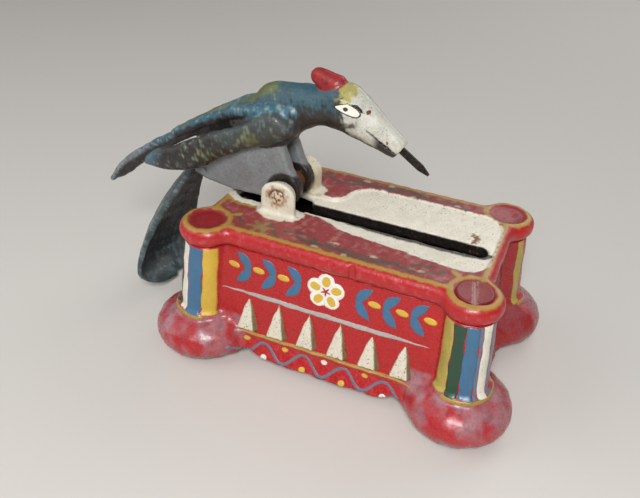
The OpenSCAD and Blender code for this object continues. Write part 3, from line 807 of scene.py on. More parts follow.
def paint_plate(points, normals):
    """Colours of the top plate: bright rim with painted highlights, washed deck with gold borders and dark
    scrolls, cream trough, and painted shade deep in the slot and the throat.
    """
    p = points.T
    x, y, z = p
    spots = cloud(p, 5.0)
    fine = cloud(p, 1.7)
    plan = plate_plan(x, y)
    up = ease(normals[:, 2], 0.55, 0.85)
    paint = Coats(len(points), RIM_RED)
    # Painted highlights: pinkish patches on the rolled rim.
    paint.lay(RIM_PINK_HIGHLIGHT, ease(fine + 0.4 * spots, 0.7, 1.5) * 0.4 * ease(plan, -5, -1))
    deck = up * ease(-plan, 3.6, 4.6) * ease(z, DECK - 3.4, DECK - 1.4)
    paint.lay(DECK_RED, deck * 0.9)
    paint.lay(DECK_PINK, deck * ease(fine + spots, 0.4, 1.6) * 0.55)
    side = np.where(y > 0, -y, y)
    for line in SCROLLS:
        near = track(x - 4, side + 0.3 * fine, line)
        paint.lay(SCROLL_BROWN, deck * ease(1.15 - near, -0.4, 0.5) * ease(spots + 2.0, 0, 1) * 0.85)
    for angle in STAR_ANGLES:
        reach_x, reach_y = 6.2 * math.cos(angle), 5.2 * math.sin(angle)
        arm = [(STAR_X + reach_x, STAR_Y + reach_y), (STAR_X - reach_x, STAR_Y - reach_y)]
        near = track(x - 5.5, side, arm)
        paint.lay(STAR_OLIVE, deck * ease(0.9 - near, -0.5, 0.5) * 0.75)
    for fx, fy in FLECKS:
        fleck = np.hypot((x - fx) / 2.0, (side - fy) / 1.1)
        paint.lay(FLECK_CREAM, deck * ease(1.1 + 0.2 * fine - fleck, 0, 0.4) * 0.8)
    disc = np.hypot(np.abs(x) - DISC_X, np.abs(y) - DISC_Y)
    long_line = np.abs(np.abs(y) - EDGE_Y + 3.9) + 30 * (np.abs(x) > DISC_X - 9)
    end_line = np.abs(np.abs(x) - EDGE_X + 4.0) + 30 * (np.abs(y) > DISC_Y - 9)
    ring = np.abs(disc - 10.7)
    link = track(np.abs(x), np.abs(y), [(DISC_X - 7.5, DISC_Y - 7.5), (DISC_X - 12, DISC_Y - 10.5)])
    border = np.minimum(np.minimum(long_line, end_line), np.minimum(ring, link))
    paint.lay(GOLD, up * ease(1.25 + 0.2 * fine - border, -0.35, 0.35) * 0.92)
    paint.lay(DISC_RED, ease(DISC_R + 0.6 - disc, 0, 1.2) * (z > DECK - 4))
    paint.lay(DARK_RED, ease(7.6 - disc, 0, 1) * ease(disc - 4.5, 0, 2) * (z > DECK - 4) * 0.6)
    trough = trough_plan(x, y)
    cream = ease(0.6 + 0.3 * fine - trough, -0.4, 0.4) * (z > DECK - 8)
    paint.lay(CREAM, cream)
    throat = throat_plan(x, y)
    band = ease(4.6 + 0.4 * fine - throat, -0.4, 0.4) * ease(z, DECK - 7, DECK - 5) * (x < THROAT_X1 + 2)
    paint.lay(GOLD, ease(6.8 + 0.5 * fine - throat, -0.4, 0.4) * up * (x < PIVOT_X - 4) * 0.9)
    paint.lay(CREAM, band)
    reach = 0.6 + 2.6 * ease(x, THROAT_X1 + 4, SLOT_X0 + 30)
    worn = ease(reach + 0.35 * spots - np.maximum(slot_plan(x, y), 0), -0.5, 0.9)
    worn = worn * (y < 0) * (x > THROAT_X1 + 4)
    paint.lay(WORN_BLACK, worn * (z > BODY_TOP) * 0.92)
    # Painted shade: the slot's walls more than about 3 mm under the deck are painted near black.
    inside = ease(1.3 - slot_plan(x, y), 0, 0.5) * (x > THROAT_X1 - 2) * ease(DECK - 3.3 - z, -0.2, 0.5)
    paint.lay(SLOT_SHADE_BLACK, inside)
    # Painted shade: the throat's walls deeper than about 5.5 mm under the deck are painted near black.
    paint.lay(THROAT_SHADE_BLACK, ease(1.2 - throat, 0, 0.5) * ease(DECK - 5.5 - z, 0, 0.8))
    chip = ease(2.4 + 0.5 * fine - np.hypot(x - NICK_X, 0.8 * (y + EDGE_Y + 2.2)), -0.3, 0.5)
    paint.lay(CHIP_BROWN, chip * 0.85)
    rust = np.hypot(x - 55, (y - 9) * 0.8)
    paint.lay(RUST, cream * ease(3.2 + 1.6 * fine - rust, 0, 2))
    lug = ease(12.6 - np.hypot(x - PIVOT_X, 1.3 * (np.abs(y) - 13)) + 0.5 * fine, -0.4, 0.4)
    lug = lug * ease(z, DECK - 1.6, DECK - 0.9)
    paint.lay(LUG_CREAM, lug)
    hub = np.hypot(x - PIVOT_X, z - PIVOT[2])
    paint.lay(LUG_RUST, lug * ease(5.8 + fine - hub, -0.2, 1.4) * (np.abs(y) > 14) * 0.75)
    crescent = ease(4.9 - hub, -0.2, 0.5) * ease(z - PIVOT[2] - 0.4 * (x - PIVOT_X), 0.5, 2) * (y < 0)
    paint.lay(LUG_SHADOW, lug * crescent * (np.abs(y) > 14) * 0.85)
    paint.lay(LUG_OLIVE, lug * (y > 0) * ease(-normals[:, 1], 0.2, 0.6) * 0.5)
    under = ease(-normals[:, 2], 0.5, 0.8) * (plan < -7)
    paint.lay(BARE_CASTING, under)
    wear = 0.2 + 0.18 * deck + 0.1 * cream + 0.08 * lug + 0.05 * band
    wear = wear + 0.4 * worn + 0.3 * inside + 0.4 * under
    wear = wear + 0.25 * ease(3 - np.hypot(x - 11, y + EDGE_Y), 0, 2)
    return paint.colour, wear


WING_SHADE = 12.0


def paint_bird(points, normals):
    """Colours of the bird, from the pivot: teal back, moss shoulders, grey belly, black feet, white head,
    with painted shade on the undersides, round the ridge and under the plume's ridge, and painted highlights
    on the ridge.
    """
    p = points.T
    x, y, z = p
    ay = np.abs(y)
    spots = cloud(p, 5.0)
    fine = cloud(p, 1.8)
    up = normals[:, 2]
    paint = Coats(len(points), FEATHER_GREY)
    # Faces that look up are teal, the bird's paint; faces that look down are black, which is painted shade on
    # the undersides.
    paint.lay(TEAL, ease(up + 0.25 * fine, -0.15, 0.5) * 0.95)
    paint.lay(BLACK, ease(-up + 0.2 * spots, 0.1, 0.6))
    wing = wing_field(p) < 0.6
    flat = wing * (plume_field(p) > 0.8) * ease(7 - x, 0, 4)
    paint.lay(WING_GREY, flat * 0.8)
    moss = np.exp(-((x + 15) / 7) ** 2 - ((z - 27) / 5) ** 2)
    moss = moss + 0.7 * np.exp(-(x + 36) ** 2 / 80 - (z - 15) ** 2 / 30)
    paint.lay(BLACK, flat * ease(-x, 2, 14) * ease(WING_SHADE - z - 0.42 * x, -2, 5) * 0.8)
    paint.lay(MOSS, flat * ease(moss + 0.3 * fine + 0.1 * spots, 0.35, 1.0) * 0.75)
    paint.lay(WING_PALE, flat * ease(fine + 0.5 * spots, 0.55, 1.3) * 0.35)
    flank = ease(38.5 + 0.8 * fine - z, -2, 2.5) * ease(ay, 3, 6) * ease(12 - x, 0, 6) * (1 - wing)
    paint.lay(FLANK_BLACK, flank * 0.9)
    hump = np.exp(-((x + 17) / 15) ** 2 - ((z - 45) / 10) ** 2) * ease(6.0 - ay, -1, 2)
    paint.lay(HUMP_GREEN, ease(hump + 0.2 * fine, 0.25, 0.75) * ease(up, -0.5, 0.1) * 0.85)
    tip = ease(-60 - x, 0, 8) * wing
    paint.lay(TIP_BLUE, tip * 0.8)
    plume = (plume_field(p) < 0.7) * (x < -14)
    ridge = bent(x, PLUME_TOP) - z
    # Painted shadow: the plume's side more than about 3 mm under its ridge is black, in the gap above the
    # wing.
    paint.lay(PLUME_SHADOW_BLACK, plume * ease(ridge, 3.0, 5.5))
    paint.lay(PLUME_TEAL, plume * ease(4.2 - ridge, 0, 2.0) * 0.9)
    top_face = plume * ease(up, 0.55, 0.85) * ease(x, -75, -60)
    paint.lay(PLUME_GREEN, top_face * ease(fine + 0.6 * spots, -0.6, 0.8) * 0.8)
    paint.lay(PLUME_PALE, plume * ease(4.6 - ridge, 0, 2) * ease(-x - 70 + 14 * fine, 0, 28) * 0.75)
    bar = ridge_field(p)
    # Painted shade: black round the foot of the shoulder ridge, off the trunk and the wings.
    under_bar = (trunk_field(p) > 0.5) * (x > -60) * (z > 2) * ease(4.5 - bar, 0, 2.5)
    paint.lay(RIDGE_SHADOW_BLACK, under_bar * (1 - wing))
    bright = ease(1.0 - bar, 0, 0.6) * ease(up + 0.25 * fine, -0.35, 0.2)
    paint.lay(RIDGE_TEAL, bright * 0.92)
    # Painted highlight: pale flecks where the ridge looks up.
    paint.lay(RIDGE_HIGHLIGHT_PALE, bright * ease(up + 0.3 * fine, 0.3, 1.0) * ease(fine, -0.2, 1.1) * 0.5)
    back = ease(5.0 + 0.6 * fine - ay, -0.8, 0.8) * ease(up, 0.2, 0.6)
    back = back * ease(-4 - x, 0, 8) * ease(x + 70, 0, 12)
    paint.lay(BACK_GREEN, back * ease(spots + 0.4 * fine, -1.2, 0.6) * 0.85)
    belly = (outline(x, z, BELLY) < 1.4) * (ay < LEG_OUT + 2.3) * (z < 0.62 * x + 33.5)
    belly = belly * (trunk_field(p) > 0.8)
    paint.lay(BELLY_GREY, belly)
    paint.lay(BLACK, ease(9.7 - np.hypot(x, z), 0, 0.8) * (ay < LEG_OUT + 1))
    head = ease((x - 27.2) + 0.55 * (z - 45) * 0.4 + 0.8 * fine, -0.8, 0.8) * (z > 18)
    paint.lay(HEAD_WHITE, head)
    # The black on faces of the jaw and beak that look down is partly the jaw's black paint and partly painted
    # shade.
    jaw = ease(-up, 0.35, 0.75) * head
    paint.lay(JAW_BLACK_AND_SHADE, jaw * ease(-(z - 47 + (x - 26) * 0.62), -1, 2) * 0.95)
    cheek = np.exp(-(((x - 31) / 6) ** 2 + ((z - 40.5 + (x - 31) * 0.1) / 1.5) ** 2))
    paint.lay(CHEEK_BLACK, ease(cheek + 0.3 * fine, 0.45, 0.9) * head * 0.85)
    dark_end = ease(-above_beak(x, z), 1.3, 2.0)
    paint.lay(BEAK_BLACK, dark_end * ease(x, 40, 44) * (z < 40))
    patch = np.exp(-((x - 27.5) / 4.6) ** 2 - ((z - 54) / 4.6) ** 2)
    paint.lay(CROWN_YELLOW, ease(patch + 0.2 * fine, 0.25, 0.8) * 0.9)
    red = ease(0.75 - crest_field(p), 0, 0.5) * (z > 50.5)
    paint.lay(CREST_RED, red)
    paint.lay(CREST_SHADE, red * ease(fine + 0.4 * spots, 0.2, 1.2) * 0.6)
    # Painted shade: the crest's faces that look down are darkened.
    paint.lay(CREST_UNDER_SHADE, red * ease(-up, 0.2, 0.6) * 0.9)
    wear = 0.34 + 0.1 * head + 0.3 * plume * ease(-x, 60, 100) - 0.22 * belly - 0.1 * red
    return paint.colour, wear


def paint_paddle(points, normals):
    """Speckled blue-grey outside, with painted shade in the hollow, deepest near the top."""
    p = points.T
    fine = cloud(p, 1.8)
    spots = cloud(p, 6.0)
    paint = Coats(len(points), PADDLE_GREY)
    paint.lay(PADDLE_BLUE, ease(fine + spots - p[2] / 60 - 1.0, -0.3, 1.0) * 0.7)
    upper = ease(p[2] + 6 * spots, -66, -34)
    # Painted shade: the hollow face, which looks to +X, is darkened, most near the top.
    paint.lay(PADDLE_HOLLOW_SHADE, ease(normals[:, 0], 0.1, 0.6) * (0.35 + 0.6 * upper))
    paint.lay(PADDLE_PALE, ease(fine + 0.6 * spots, 0.55, 1.5) * (0.3 - 0.1 * (normals[:, 0] > 0)))
    return paint.colour, np.full(len(points), 0.45)


# ---------- materials ----------

def add(tree, kind, links, **settings):
    """Adds a node. settings are its properties, links give its inputs a value or another node's output."""
    made = tree.nodes.new(kind)
    for name, value in settings.items():
        setattr(made, name, value)
    for key, source in links.items():
        if isinstance(source, bpy.types.NodeSocket):
            tree.links.new(source, made.inputs[key])
        else:
            made.inputs[key].default_value = source
    return made


def new_material(name):
    """An empty node material and its tree."""
    material = bpy.data.materials.new(name)
    material.use_nodes = True
    tree = material.node_tree
    tree.nodes.clear()
    return material, tree


def rgba(code):
    return tuple(linear(code)) + (1.0,)


def noise(tree, place, size_mm, detail=3.0, rough=0.6):
    """Noise whose patches are about size_mm wide."""
    links = {"Vector": place, "Scale": 1 / (size_mm * MM), "Detail": detail, "Roughness": rough}
    return add(tree, "ShaderNodeTexNoise", links).outputs["Fac"]


def spread(tree, value, low, high, to_low=0.0, to_high=1.0):
    """Stretches the range low to high, clamped."""
    links = {"Value": value, 1: low, 2: high, 3: to_low, 4: to_high}
    return add(tree, "ShaderNodeMapRange", links, interpolation_type="SMOOTHSTEP").outputs[0]


def sum_of(tree, a, b, factor=1.0):
    """a plus factor times b."""
    return add(tree, "ShaderNodeMath", {0: b, 1: factor, 2: a}, operation="MULTIPLY_ADD").outputs[0]


def tint(tree, under, over, share):
    """Mixes colour over onto under."""
    return add(tree, "ShaderNodeMix", {0: share, 6: under, 7: over}, data_type="RGBA").outputs[2]


def oil_enamel(name, colour=None, chips=0.0, gloss=0.28, stained=False, mottle=0.35, bump=0.35):
    """Old brushed oil enamel on sand-cast iron. Brushing leaves it slightly uneven in tone, the iron's grain
    shows through as small lumps that catch the light, and it chips to dark iron where it is handled. The
    colour comes from the piece's paint attribute unless one is given."""
    material, tree = new_material(name)
    place = add(tree, "ShaderNodeTexCoord", {}).outputs["Object"]
    if colour is None:
        base = add(tree, "ShaderNodeAttribute", {}, attribute_name="paint").outputs["Color"]
        wear = add(tree, "ShaderNodeAttribute", {}, attribute_name="wear").outputs["Fac"]
        wear = sum_of(tree, wear, 1.0, chips)
    else:
        base = rgba(colour)
        wear = chips
    broad = noise(tree, place, 9.0)
    grain = noise(tree, place, 1.3, 4.0, 0.65)
    grit = noise(tree, place, 0.55, 3.0, 0.7)
    shade = spread(tree, sum_of(tree, grain, broad, 0.6), 0.5, 1.1)
    dark = tint(tree, base, rgba(ENAMEL_SHADE), mottle * 0.55)
    body = tint(tree, dark, base, shade)
    # Painted glints: light specks where the grain noise is high, for lumps that catch the light.
    lit = spread(tree, sum_of(tree, grit, broad, 0.3), 0.78, 0.98, 0.0, mottle * 0.14)
    body = tint(tree, body, rgba(ENAMEL_LIGHT), lit)
    need = sum_of(tree, sum_of(tree, grit, grain, 0.8), wear, 0.42)
    chipped = spread(tree, need, 1.22, 1.3)
    body = tint(tree, body, rgba(IRON), chipped)
    if stained:
        stain = spread(tree, sum_of(tree, sum_of(tree, broad, grain, 0.7), wear, 0.35), 1.2, 1.45, 0.0, 0.55)
        body = tint(tree, body, rgba(STAIN_BROWN), stain)
    rough = spread(tree, sum_of(tree, grain, chipped, 0.6), 0.35, 0.95, gloss, gloss + 0.4)
    height = sum_of(tree, sum_of(tree, grain, grit, 0.5), chipped, -0.6)
    relief = add(tree, "ShaderNodeBump", {"Strength": bump, "Distance": 0.45 * MM, "Height": height})
    links = {"Base Color": body, "Roughness": rough, "Normal": relief.outputs[0], "IOR": 1.5,
        "Coat Weight": 0.25, "Coat Roughness": 0.18}
    shader = add(tree, "ShaderNodeBsdfPrincipled", links)
    add(tree, "ShaderNodeOutputMaterial", {"Surface": shader.outputs[0]})
    return material


def aged_steel(name, bright, dull, rust_share, rough=0.45):
    """Forged or rolled steel, darkened by age, with brown rust in patches and a fine grain."""
    material, tree = new_material(name)
    place = add(tree, "ShaderNodeTexCoord", {}).outputs["Object"]
    broad = noise(tree, place, 4.0)
    grain = noise(tree, place, 0.7, 4.0, 0.7)
    body = tint(tree, rgba(dull), rgba(bright), spread(tree, grain, 0.35, 0.7))
    rusty = spread(tree, sum_of(tree, broad, grain, 0.6), 1.0 - rust_share, 1.15 - rust_share)
    body = tint(tree, body, rgba(RUST_BROWN), rusty)
    metal = spread(tree, rusty, 0.0, 1.0, 0.85, 0.05)
    roughness = spread(tree, sum_of(tree, grain, rusty, 0.5), 0.3, 1.0, rough, rough + 0.35)
    relief = add(tree, "ShaderNodeBump", {"Strength": 0.4, "Distance": 0.2 * MM, "Height": grain})
    links = {"Base Color": body, "Metallic": metal, "Roughness": roughness, "Normal": relief.outputs[0]}
    shader = add(tree, "ShaderNodeBsdfPrincipled", links)
    add(tree, "ShaderNodeOutputMaterial", {"Surface": shader.outputs[0]})
    return material


gloss_red = oil_enamel("gloss_oil_enamel_on_cast_iron", gloss=0.22, mottle=0.3)
deck_paint = oil_enamel("washed_oil_enamel_on_cast_iron", gloss=0.3, stained=True, mottle=0.4)
bird_paint = oil_enamel("worn_oil_enamel_on_cast_bird", gloss=0.36, mottle=0.7, bump=0.6)
rusty_steel = aged_steel("rusty_forged_steel", "#8a7a68", "#4a3a30", 0.45)
blade_steel = aged_steel("darkened_spring_steel", "#4c4845", "#1c1a19", 0.12, 0.35)
sheet_steel = aged_steel("old_rolled_sheet_steel", "#77706a", "#4e4640", 0.3)


# ---------- pieces from fields ----------

def cast(name, field, lo, hi, pitch, origin, painter, material, body, stands_for):
    """Nets a field, paints it and places it in the row's frame."""
    points, faces = net(field, lo, hi, pitch)
    paint, wear = painter(points, normals_of(field, points))
    return build(name, points + origin, faces, material, body, stands_for, paint, wear)


reach_x, reach_y = FOOT_X + FOOT_R + 2, FOOT_Y + FOOT_R + 2
cast("box_casting", box_field, (-reach_x, -reach_y, -1.5), (reach_x, reach_y, BODY_TOP + 1.5), 1.1, BOX,
    paint_box, gloss_red, "box", ["box_body"])

cast("plate_casting", plate_field, (-DISC_X - LOBE_R - 1.5, -DISC_Y - LOBE_R - 1.5, BODY_TOP - 1.5),
    (DISC_X + LOBE_R + 1.5, DISC_Y + LOBE_R + 1.5, PIVOT[2] + LUG_R + 1.5), 0.72, BOX,
    paint_plate, deck_paint, "box", ["top_plate"])

bird_lo, bird_hi = (-113.0, -25.0, -29.0), (56.0, 1.0, 63.0)
half, half_faces = net(bird_field, bird_lo, bird_hi, 0.72)
half_paint, half_wear = paint_bird(half, normals_of(bird_field, half))
for side_name, turn, node in (("front", 1, "bird_front_half"), ("back", -1, "bird_back_half")):
    build("bird_" + side_name + "_casting", half * (1, turn, 1) + PIVOT, half_faces[:, ::turn], bird_paint,
        "bird", [node], half_paint, half_wear)


def tooth_row(sign):
    """The teeth of one long wall: one tooth netted once, then copied along the wall and leant with it."""
    points, faces = net(tooth_field, (-6.5, -2.5, -1), (6.5, 5, TOOTH_H + 1.5), 0.45)
    paint, wear = paint_tooth(points, normals_of(tooth_field, points))
    count = len(points)
    rows = []
    for i in range(TEETH):
        x = (i - (TEETH - 1) / 2) * TOOTH_PITCH
        z = points[:, 2] + TOOTH_Z
        rows.append(np.column_stack([points[:, 0] + x, sign * (wall_y(z) + points[:, 1] - 0.3), z]) + BOX)
    all_faces = np.concatenate([faces + i * count for i in range(TEETH)])
    if sign < 0:
        all_faces = all_faces[:, ::-1]
    side_name = "front" if sign < 0 else "back"
    build("teeth_" + side_name, np.concatenate(rows), all_faces, gloss_red, "box",
        ["box_body"], np.tile(paint, (TEETH, 1)), np.tile(wear, TEETH))


tooth_row(-1)
tooth_row(1)


def plate_screw(name, sx, sy, node):
    points, faces = net(screw_field, (-10, -10, -0.7), (10, 10, 3), 0.4)
    r = np.hypot(points[:, 0], points[:, 1])
    fine = cloud(points.T, 1.6)
    paint = Coats(len(points), SCREW_RED)
    paint.lay(DARK_RED, ease(r, 3, 6) * 0.6)
    groove = from_groove(points[:, 0], points[:, 1])
    # Painted highlight: a pinkish light line along the screw's slot.
    paint.lay(SCREW_SLOT_HIGHLIGHT_PINK, ease(1.5 + 0.3 * fine - groove, 0, 0.5) * 0.7)
    place = np.array([sx * DISC_X, sy * DISC_Y, DECK - 1.6]) + BOX
    build(name, points + place, faces, deck_paint, "box", [node], paint.colour,
        np.full(len(points), 0.4))


plate_screw("screw_head_front", 1, -1, "plate_screw_front")
plate_screw("screw_head_back", -1, 1, "plate_screw_back")

pin_points, pin_faces = net(pin_field, (-5, -21, -5), (5, 21, 5), 0.4)
pin_fine = cloud(pin_points.T, 1.5)
pin_paint = Coats(len(pin_points), PIN_CREAM)
pin_paint.lay(PIN_RUST, ease(pin_fine, -0.1, 0.8))
build("hammered_pivot_pin", pin_points + PIVOT, pin_faces, deck_paint, "box", ["pivot_pin"],
    pin_paint.colour, 0.45 + 0.1 * pin_fine)


# ---------- tail paddle ----------

PADDLE_TOP = (-56.0, -3.0)
PADDLE_DROP = PIVOT[2] - 4.0 + PADDLE_TOP[1]


def paddle_sheet(s, t, depth):
    """The paddle's outer face at depth 0 and its hollow face at depth 1. s runs down from 0 to 1, and t runs
    across from -1 to 1. It swings back by a sine, its width grows by a sine and closes in a round end, and
    its middle bows away from the box. Its wall is thickest at the top."""
    grow = 5 + 22.5 * np.sin(math.pi / 2 * np.minimum(1, s / 0.8))
    half_w = grow * np.clip(1 - (np.maximum(s - 0.8, 0) / 0.201) ** 2.6, 0, 1) ** 0.5
    hollow = (1 - t * t) * 8 * np.sin(math.pi / 2 * np.minimum(1, half_w / 26))
    curl = 9 * (np.maximum(s - 0.8, 0) / 0.2) ** 2
    thick = 3.4 * (1 - 0.25 * s * s)
    x = PADDLE_TOP[0] - 25 * np.sin(math.pi / 2 * s) - hollow + curl + depth * thick
    z = PADDLE_TOP[1] - PADDLE_DROP * s + 0 * t
    return np.stack([x, half_w * t, z], -1)


def closed_grid(outer, inner):
    """Faces of a closed solid from two grids of the same size, joined along their four borders."""
    rows, cols = outer.shape[:2]
    number = np.arange(rows * cols).reshape(rows, cols)
    a, b, c, d = number[:-1, :-1], number[1:, :-1], number[1:, 1:], number[:-1, 1:]
    sheet = np.stack([a, b, c, d], -1).reshape(-1, 4)
    back = sheet[:, ::-1] + rows * cols
    rim = np.concatenate([number[0, :-1], number[:-1, -1], number[-1, :0:-1], number[:0:-1, 0]])
    after = np.roll(rim, -1)
    wall = np.stack([rim, after, after + rows * cols, rim + rows * cols], -1)
    points = np.concatenate([outer.reshape(-1, 3), inner.reshape(-1, 3)])
    return points, np.concatenate([sheet, back, wall])


def paddle():
    s = np.linspace(0.0, 0.999, 90)[:, None]
    t = np.linspace(-1, 1, 56)[None, :]
    outer = paddle_sheet(s, t, 0.0)
    inner = paddle_sheet(s, t, 1.0)
    points, faces = closed_grid(outer, inner)
    skin = casting_skin(points.T)
    points = points + np.stack([skin, 0 * skin, 0 * skin], -1)
    mesh_normals = np.zeros_like(points)
    count = outer.shape[0] * outer.shape[1]
    mesh_normals[:count, 0] = -1
    mesh_normals[count:, 0] = 1
    paint, wear = paint_paddle(points, mesh_normals)
    piece = build("tail_paddle_casting", points + PIVOT, faces, bird_paint, "bird",
        ["tail_paddle"], paint, wear)
    soften = piece.modifiers.new("rounded_rim", "BEVEL")
    soften.width = 1.2 * MM
    soften.segments = 3
    soften.angle_limit = math.radians(50)


paddle()


# ---------- brushed films of paint ----------

def press(field, points, way, rounds=26):
    """Slides points along the direction way until they meet the surface of the field."""
    for _ in range(rounds):
        points = points + way * np.clip(field(points.T), -2, 6)[:, None] * 0.85
    return points


def smooth_path(points, count):
    """count points along a smooth curve through the given ones, evenly spread by length."""
    points = np.array(points, float)
    length = np.concatenate([[0], np.cumsum(np.linalg.norm(np.diff(points, axis=0), axis=1))])
    at = np.linspace(0, length[-1], count)
    if len(points) < 3:
        return np.stack([np.interp(at, length, points[:, i]) for i in range(points.shape[1])], -1)
    return np.stack([bent(at, list(zip(length, points[:, i]))) for i in range(points.shape[1])], -1)


FILM_SINK = 0.02
FILM_DEEP = 0.35
RUN_UP = 8


class Film:
    """Gathers brush strokes of one colour, then presses them all onto one field as closed films."""

    def __init__(self, field, origin, body, slot, proud=0.13):
        self.field, self.origin, self.body, self.slot, self.proud = field, origin, body, slot, proud
        self.tops, self.ways, self.lifts, self.sizes = [], [], [], []

    def stroke(self, path, widths, way, across=7):
        """One stroke: path is a line of 3-D points, widths its half widths, way the pressing direction."""
        path = np.asarray(path, float)
        way = np.broadcast_to(np.asarray(way, float), path.shape)
        way = way / np.linalg.norm(way, axis=1)[:, None]
        along = np.gradient(path, axis=0)
        side = np.cross(way, along)
        side = side / np.maximum(np.linalg.norm(side, axis=1), 1e-9)[:, None]
        c = np.linspace(-1, 1, across)
        widths = np.broadcast_to(widths, len(path))
        grid = path[:, None, :] + side[:, None, :] * (widths[:, None] * c[None, :])[..., None]
        self.tops.append(grid.reshape(-1, 3))
        self.ways.append(np.repeat(way, across, axis=0))
        lift = np.sqrt(np.clip(1 - c ** 6, 0, 1))[None, :] * np.ones((len(path), 1))
        lift[0] = 0
        lift[-1] = 0
        self.lifts.append(lift.ravel())
        self.sizes.append((len(path), across))

    def finish(self, name, material):
        tops = np.concatenate(self.tops)
        ways = np.concatenate(self.ways)
        lifts = np.concatenate(self.lifts)
        tops = press(self.field, tops - ways * RUN_UP, ways)
        normals = normals_of(self.field, tops)
        high = tops + normals * (self.proud * lifts - FILM_SINK)[:, None]
        low = tops - normals * FILM_DEEP
        points, faces, start, base = [], [], 0, 0
        for rows, cols in self.sizes:
            part = slice(start, start + rows * cols)
            p, f = closed_grid(high[part].reshape(rows, cols, 3), low[part].reshape(rows, cols, 3))
            points.append(p)
            faces.append(f + base)
            start += rows * cols
            base += len(p)
        return build(name, np.concatenate(points) + self.origin, np.concatenate(faces), material, self.body)


def leaf_widths(count, half, head=0.62):
    """Half widths of a brush stroke that starts as a point, is widest at head and ends round."""
    s = np.linspace(0, 1, count)
    rise = np.sin(math.pi / 2 * np.clip(s / head, 0, 1)) ** 0.9
    fall = np.sqrt(np.clip(1 - ((s - head) / (1 - head)) ** 2, 0, 1))
    return np.maximum(half * np.where(s < head, rise, fall), 0.06)


def round_widths(count, half):
    s = np.linspace(-1, 1, count)
    return np.maximum(half * np.sqrt(np.clip(1 - s ** 2, 0, 1)), 0.06)


# The back wall carries the same pattern as the front wall: sign is -1 for the front and 1 for the back.
SIGNS = (-1, 1)
OFF_WALL = 60.0


def oval(film, x, z, half_long, half_wide, tilt, sign):
    t = np.linspace(-1, 1, 15)
    c, s = math.cos(math.radians(tilt)), math.sin(math.radians(tilt))
    path = np.stack([x + t * half_long * c, np.full(15, sign * OFF_WALL), z + t * half_long * s], -1)
    film.stroke(path * (-sign, 1, 1), round_widths(15, half_wide), (0, -sign, 0))


def line_on_wall(film, points, widths, sign, count=60):
    flat = smooth_path(points, count)
    path = np.stack([flat[:, 0] * -sign, np.full(count, sign * OFF_WALL), flat[:, 1]], -1)
    film.stroke(path, widths, (0, -sign, 0))


LEAF_PAIRS = 3
LEAF_START = 14.6
LEAF_STEP = 13.1
LEAF_Z = 51.9
LEAF_HALF = 2.5
LEAF_BOW = 1.1
# The two leaves of a pair: how far the tip is outwards and up from where they meet, and how far the other
# end is above that place.
LEAF_TIPS = ((6.6, 7.6, -0.78), (6.7, -8.6, 0.78))
DASH_OUT = 8.2
DASH_HALF_LONG = 3.2
DASH_HALF_WIDE = 1.75
DASH_TILT = -6
FLOWER = (-1.2, 51.6)


def leaves(film, sign):
    """Three pairs of leaves on each side of the flower: each pair meets at the end nearer to it."""
    for side in (-1, 1):
        for k in range(LEAF_PAIRS):
            x = LEAF_START + LEAF_STEP * k
            for out, rise, end in LEAF_TIPS:
                tip = (side * (x + out), LEAF_Z + rise)
                bow = ((tip[0] + side * x) / 2 - side * LEAF_BOW, (tip[1] + LEAF_Z) / 2)
                points = [tip, bow, (side * x, LEAF_Z + end)]
                line_on_wall(film, points, leaf_widths(24, LEAF_HALF, 0.5), sign, 24)


def dashes(film, sign):
    for side in (-1, 1):
        for k in range(LEAF_PAIRS):
            x = side * (LEAF_START + DASH_OUT + LEAF_STEP * k)
            oval(film, x, LEAF_Z + 0.4, DASH_HALF_LONG, DASH_HALF_WIDE, DASH_TILT, sign)


def petals(film, sign, reach, half_long, half_wide):
    for k in range(5):
        a = math.radians(90 + 72 * k)
        x, z = FLOWER[0] + reach * math.cos(a), FLOWER[1] + reach * math.sin(a)
        oval(film, x, z, half_long, half_wide, math.degrees(a), sign)


def white_petals(film, sign):
    petals(film, sign, 5.0, 4.6, 4.6)


def petal_hearts(film, sign):
    petals(film, sign, 5.5, 2.8, 2.5)


def flower_centre(film, sign):
    """A short stroke between each two petals."""
    for k in range(5):
        a = math.radians(54 + 72 * k)
        inner = (FLOWER[0] + 0.2 * math.cos(a), FLOWER[1] + 0.2 * math.sin(a))
        outer = (FLOWER[0] + 2.7 * math.cos(a), FLOWER[1] + 2.7 * math.sin(a))
        line_on_wall(film, [outer, inner], leaf_widths(10, 0.55), sign, 10)


SILVER_LINE = [(-55.1, 38.4), (0, 38.3), (50.9, 38.4)]
WAVE_LENGTH = 21.0
WAVE_Z = 9.3
WAVE_RISE = 3.6
WAVE_LOW_X = 1.5
DOT_START = -40
DOT_ABOVE = 13.0
DOT_BELOW = 6.0


def silver_line(film, sign):
    """The line under the leaves, thin at its ends and slightly uneven."""
    s = np.linspace(0, 1, 80)
    taper = 0.15 + 1.15 * np.minimum(1, np.minimum(s, 1 - s) * 4.5) * (1 + 0.12 * np.sin(s * 40))
    line_on_wall(film, SILVER_LINE, taper, sign, 80)


def wavy_line(film, sign):
    """The wave along the skirt."""
    at = np.linspace(-47, 41, 110)
    wave = [(x, WAVE_Z - WAVE_RISE * math.cos(2 * math.pi * (x - WAVE_LOW_X) / WAVE_LENGTH)) for x in at]
    line_on_wall(film, wave, 0.75, sign, 130)


def dots(film, sign, cream):
    """The dots above and below the wave, two to a wave: every third one is cream, the rest are yellow."""
    for k in range(8):
        if (k % 3 == 1) == cream:
            z = DOT_BELOW if k % 2 else DOT_ABOVE
            oval(film, DOT_START + WAVE_LENGTH / 2 * k, z, 1.7, 1.5, 0, sign)


def yellow_dots(film, sign):
    dots(film, sign, False)


def cream_dots(film, sign):
    dots(film, sign, True)


STRIPE_TOP = 61.2
STRIPE_FOOT = 23.0


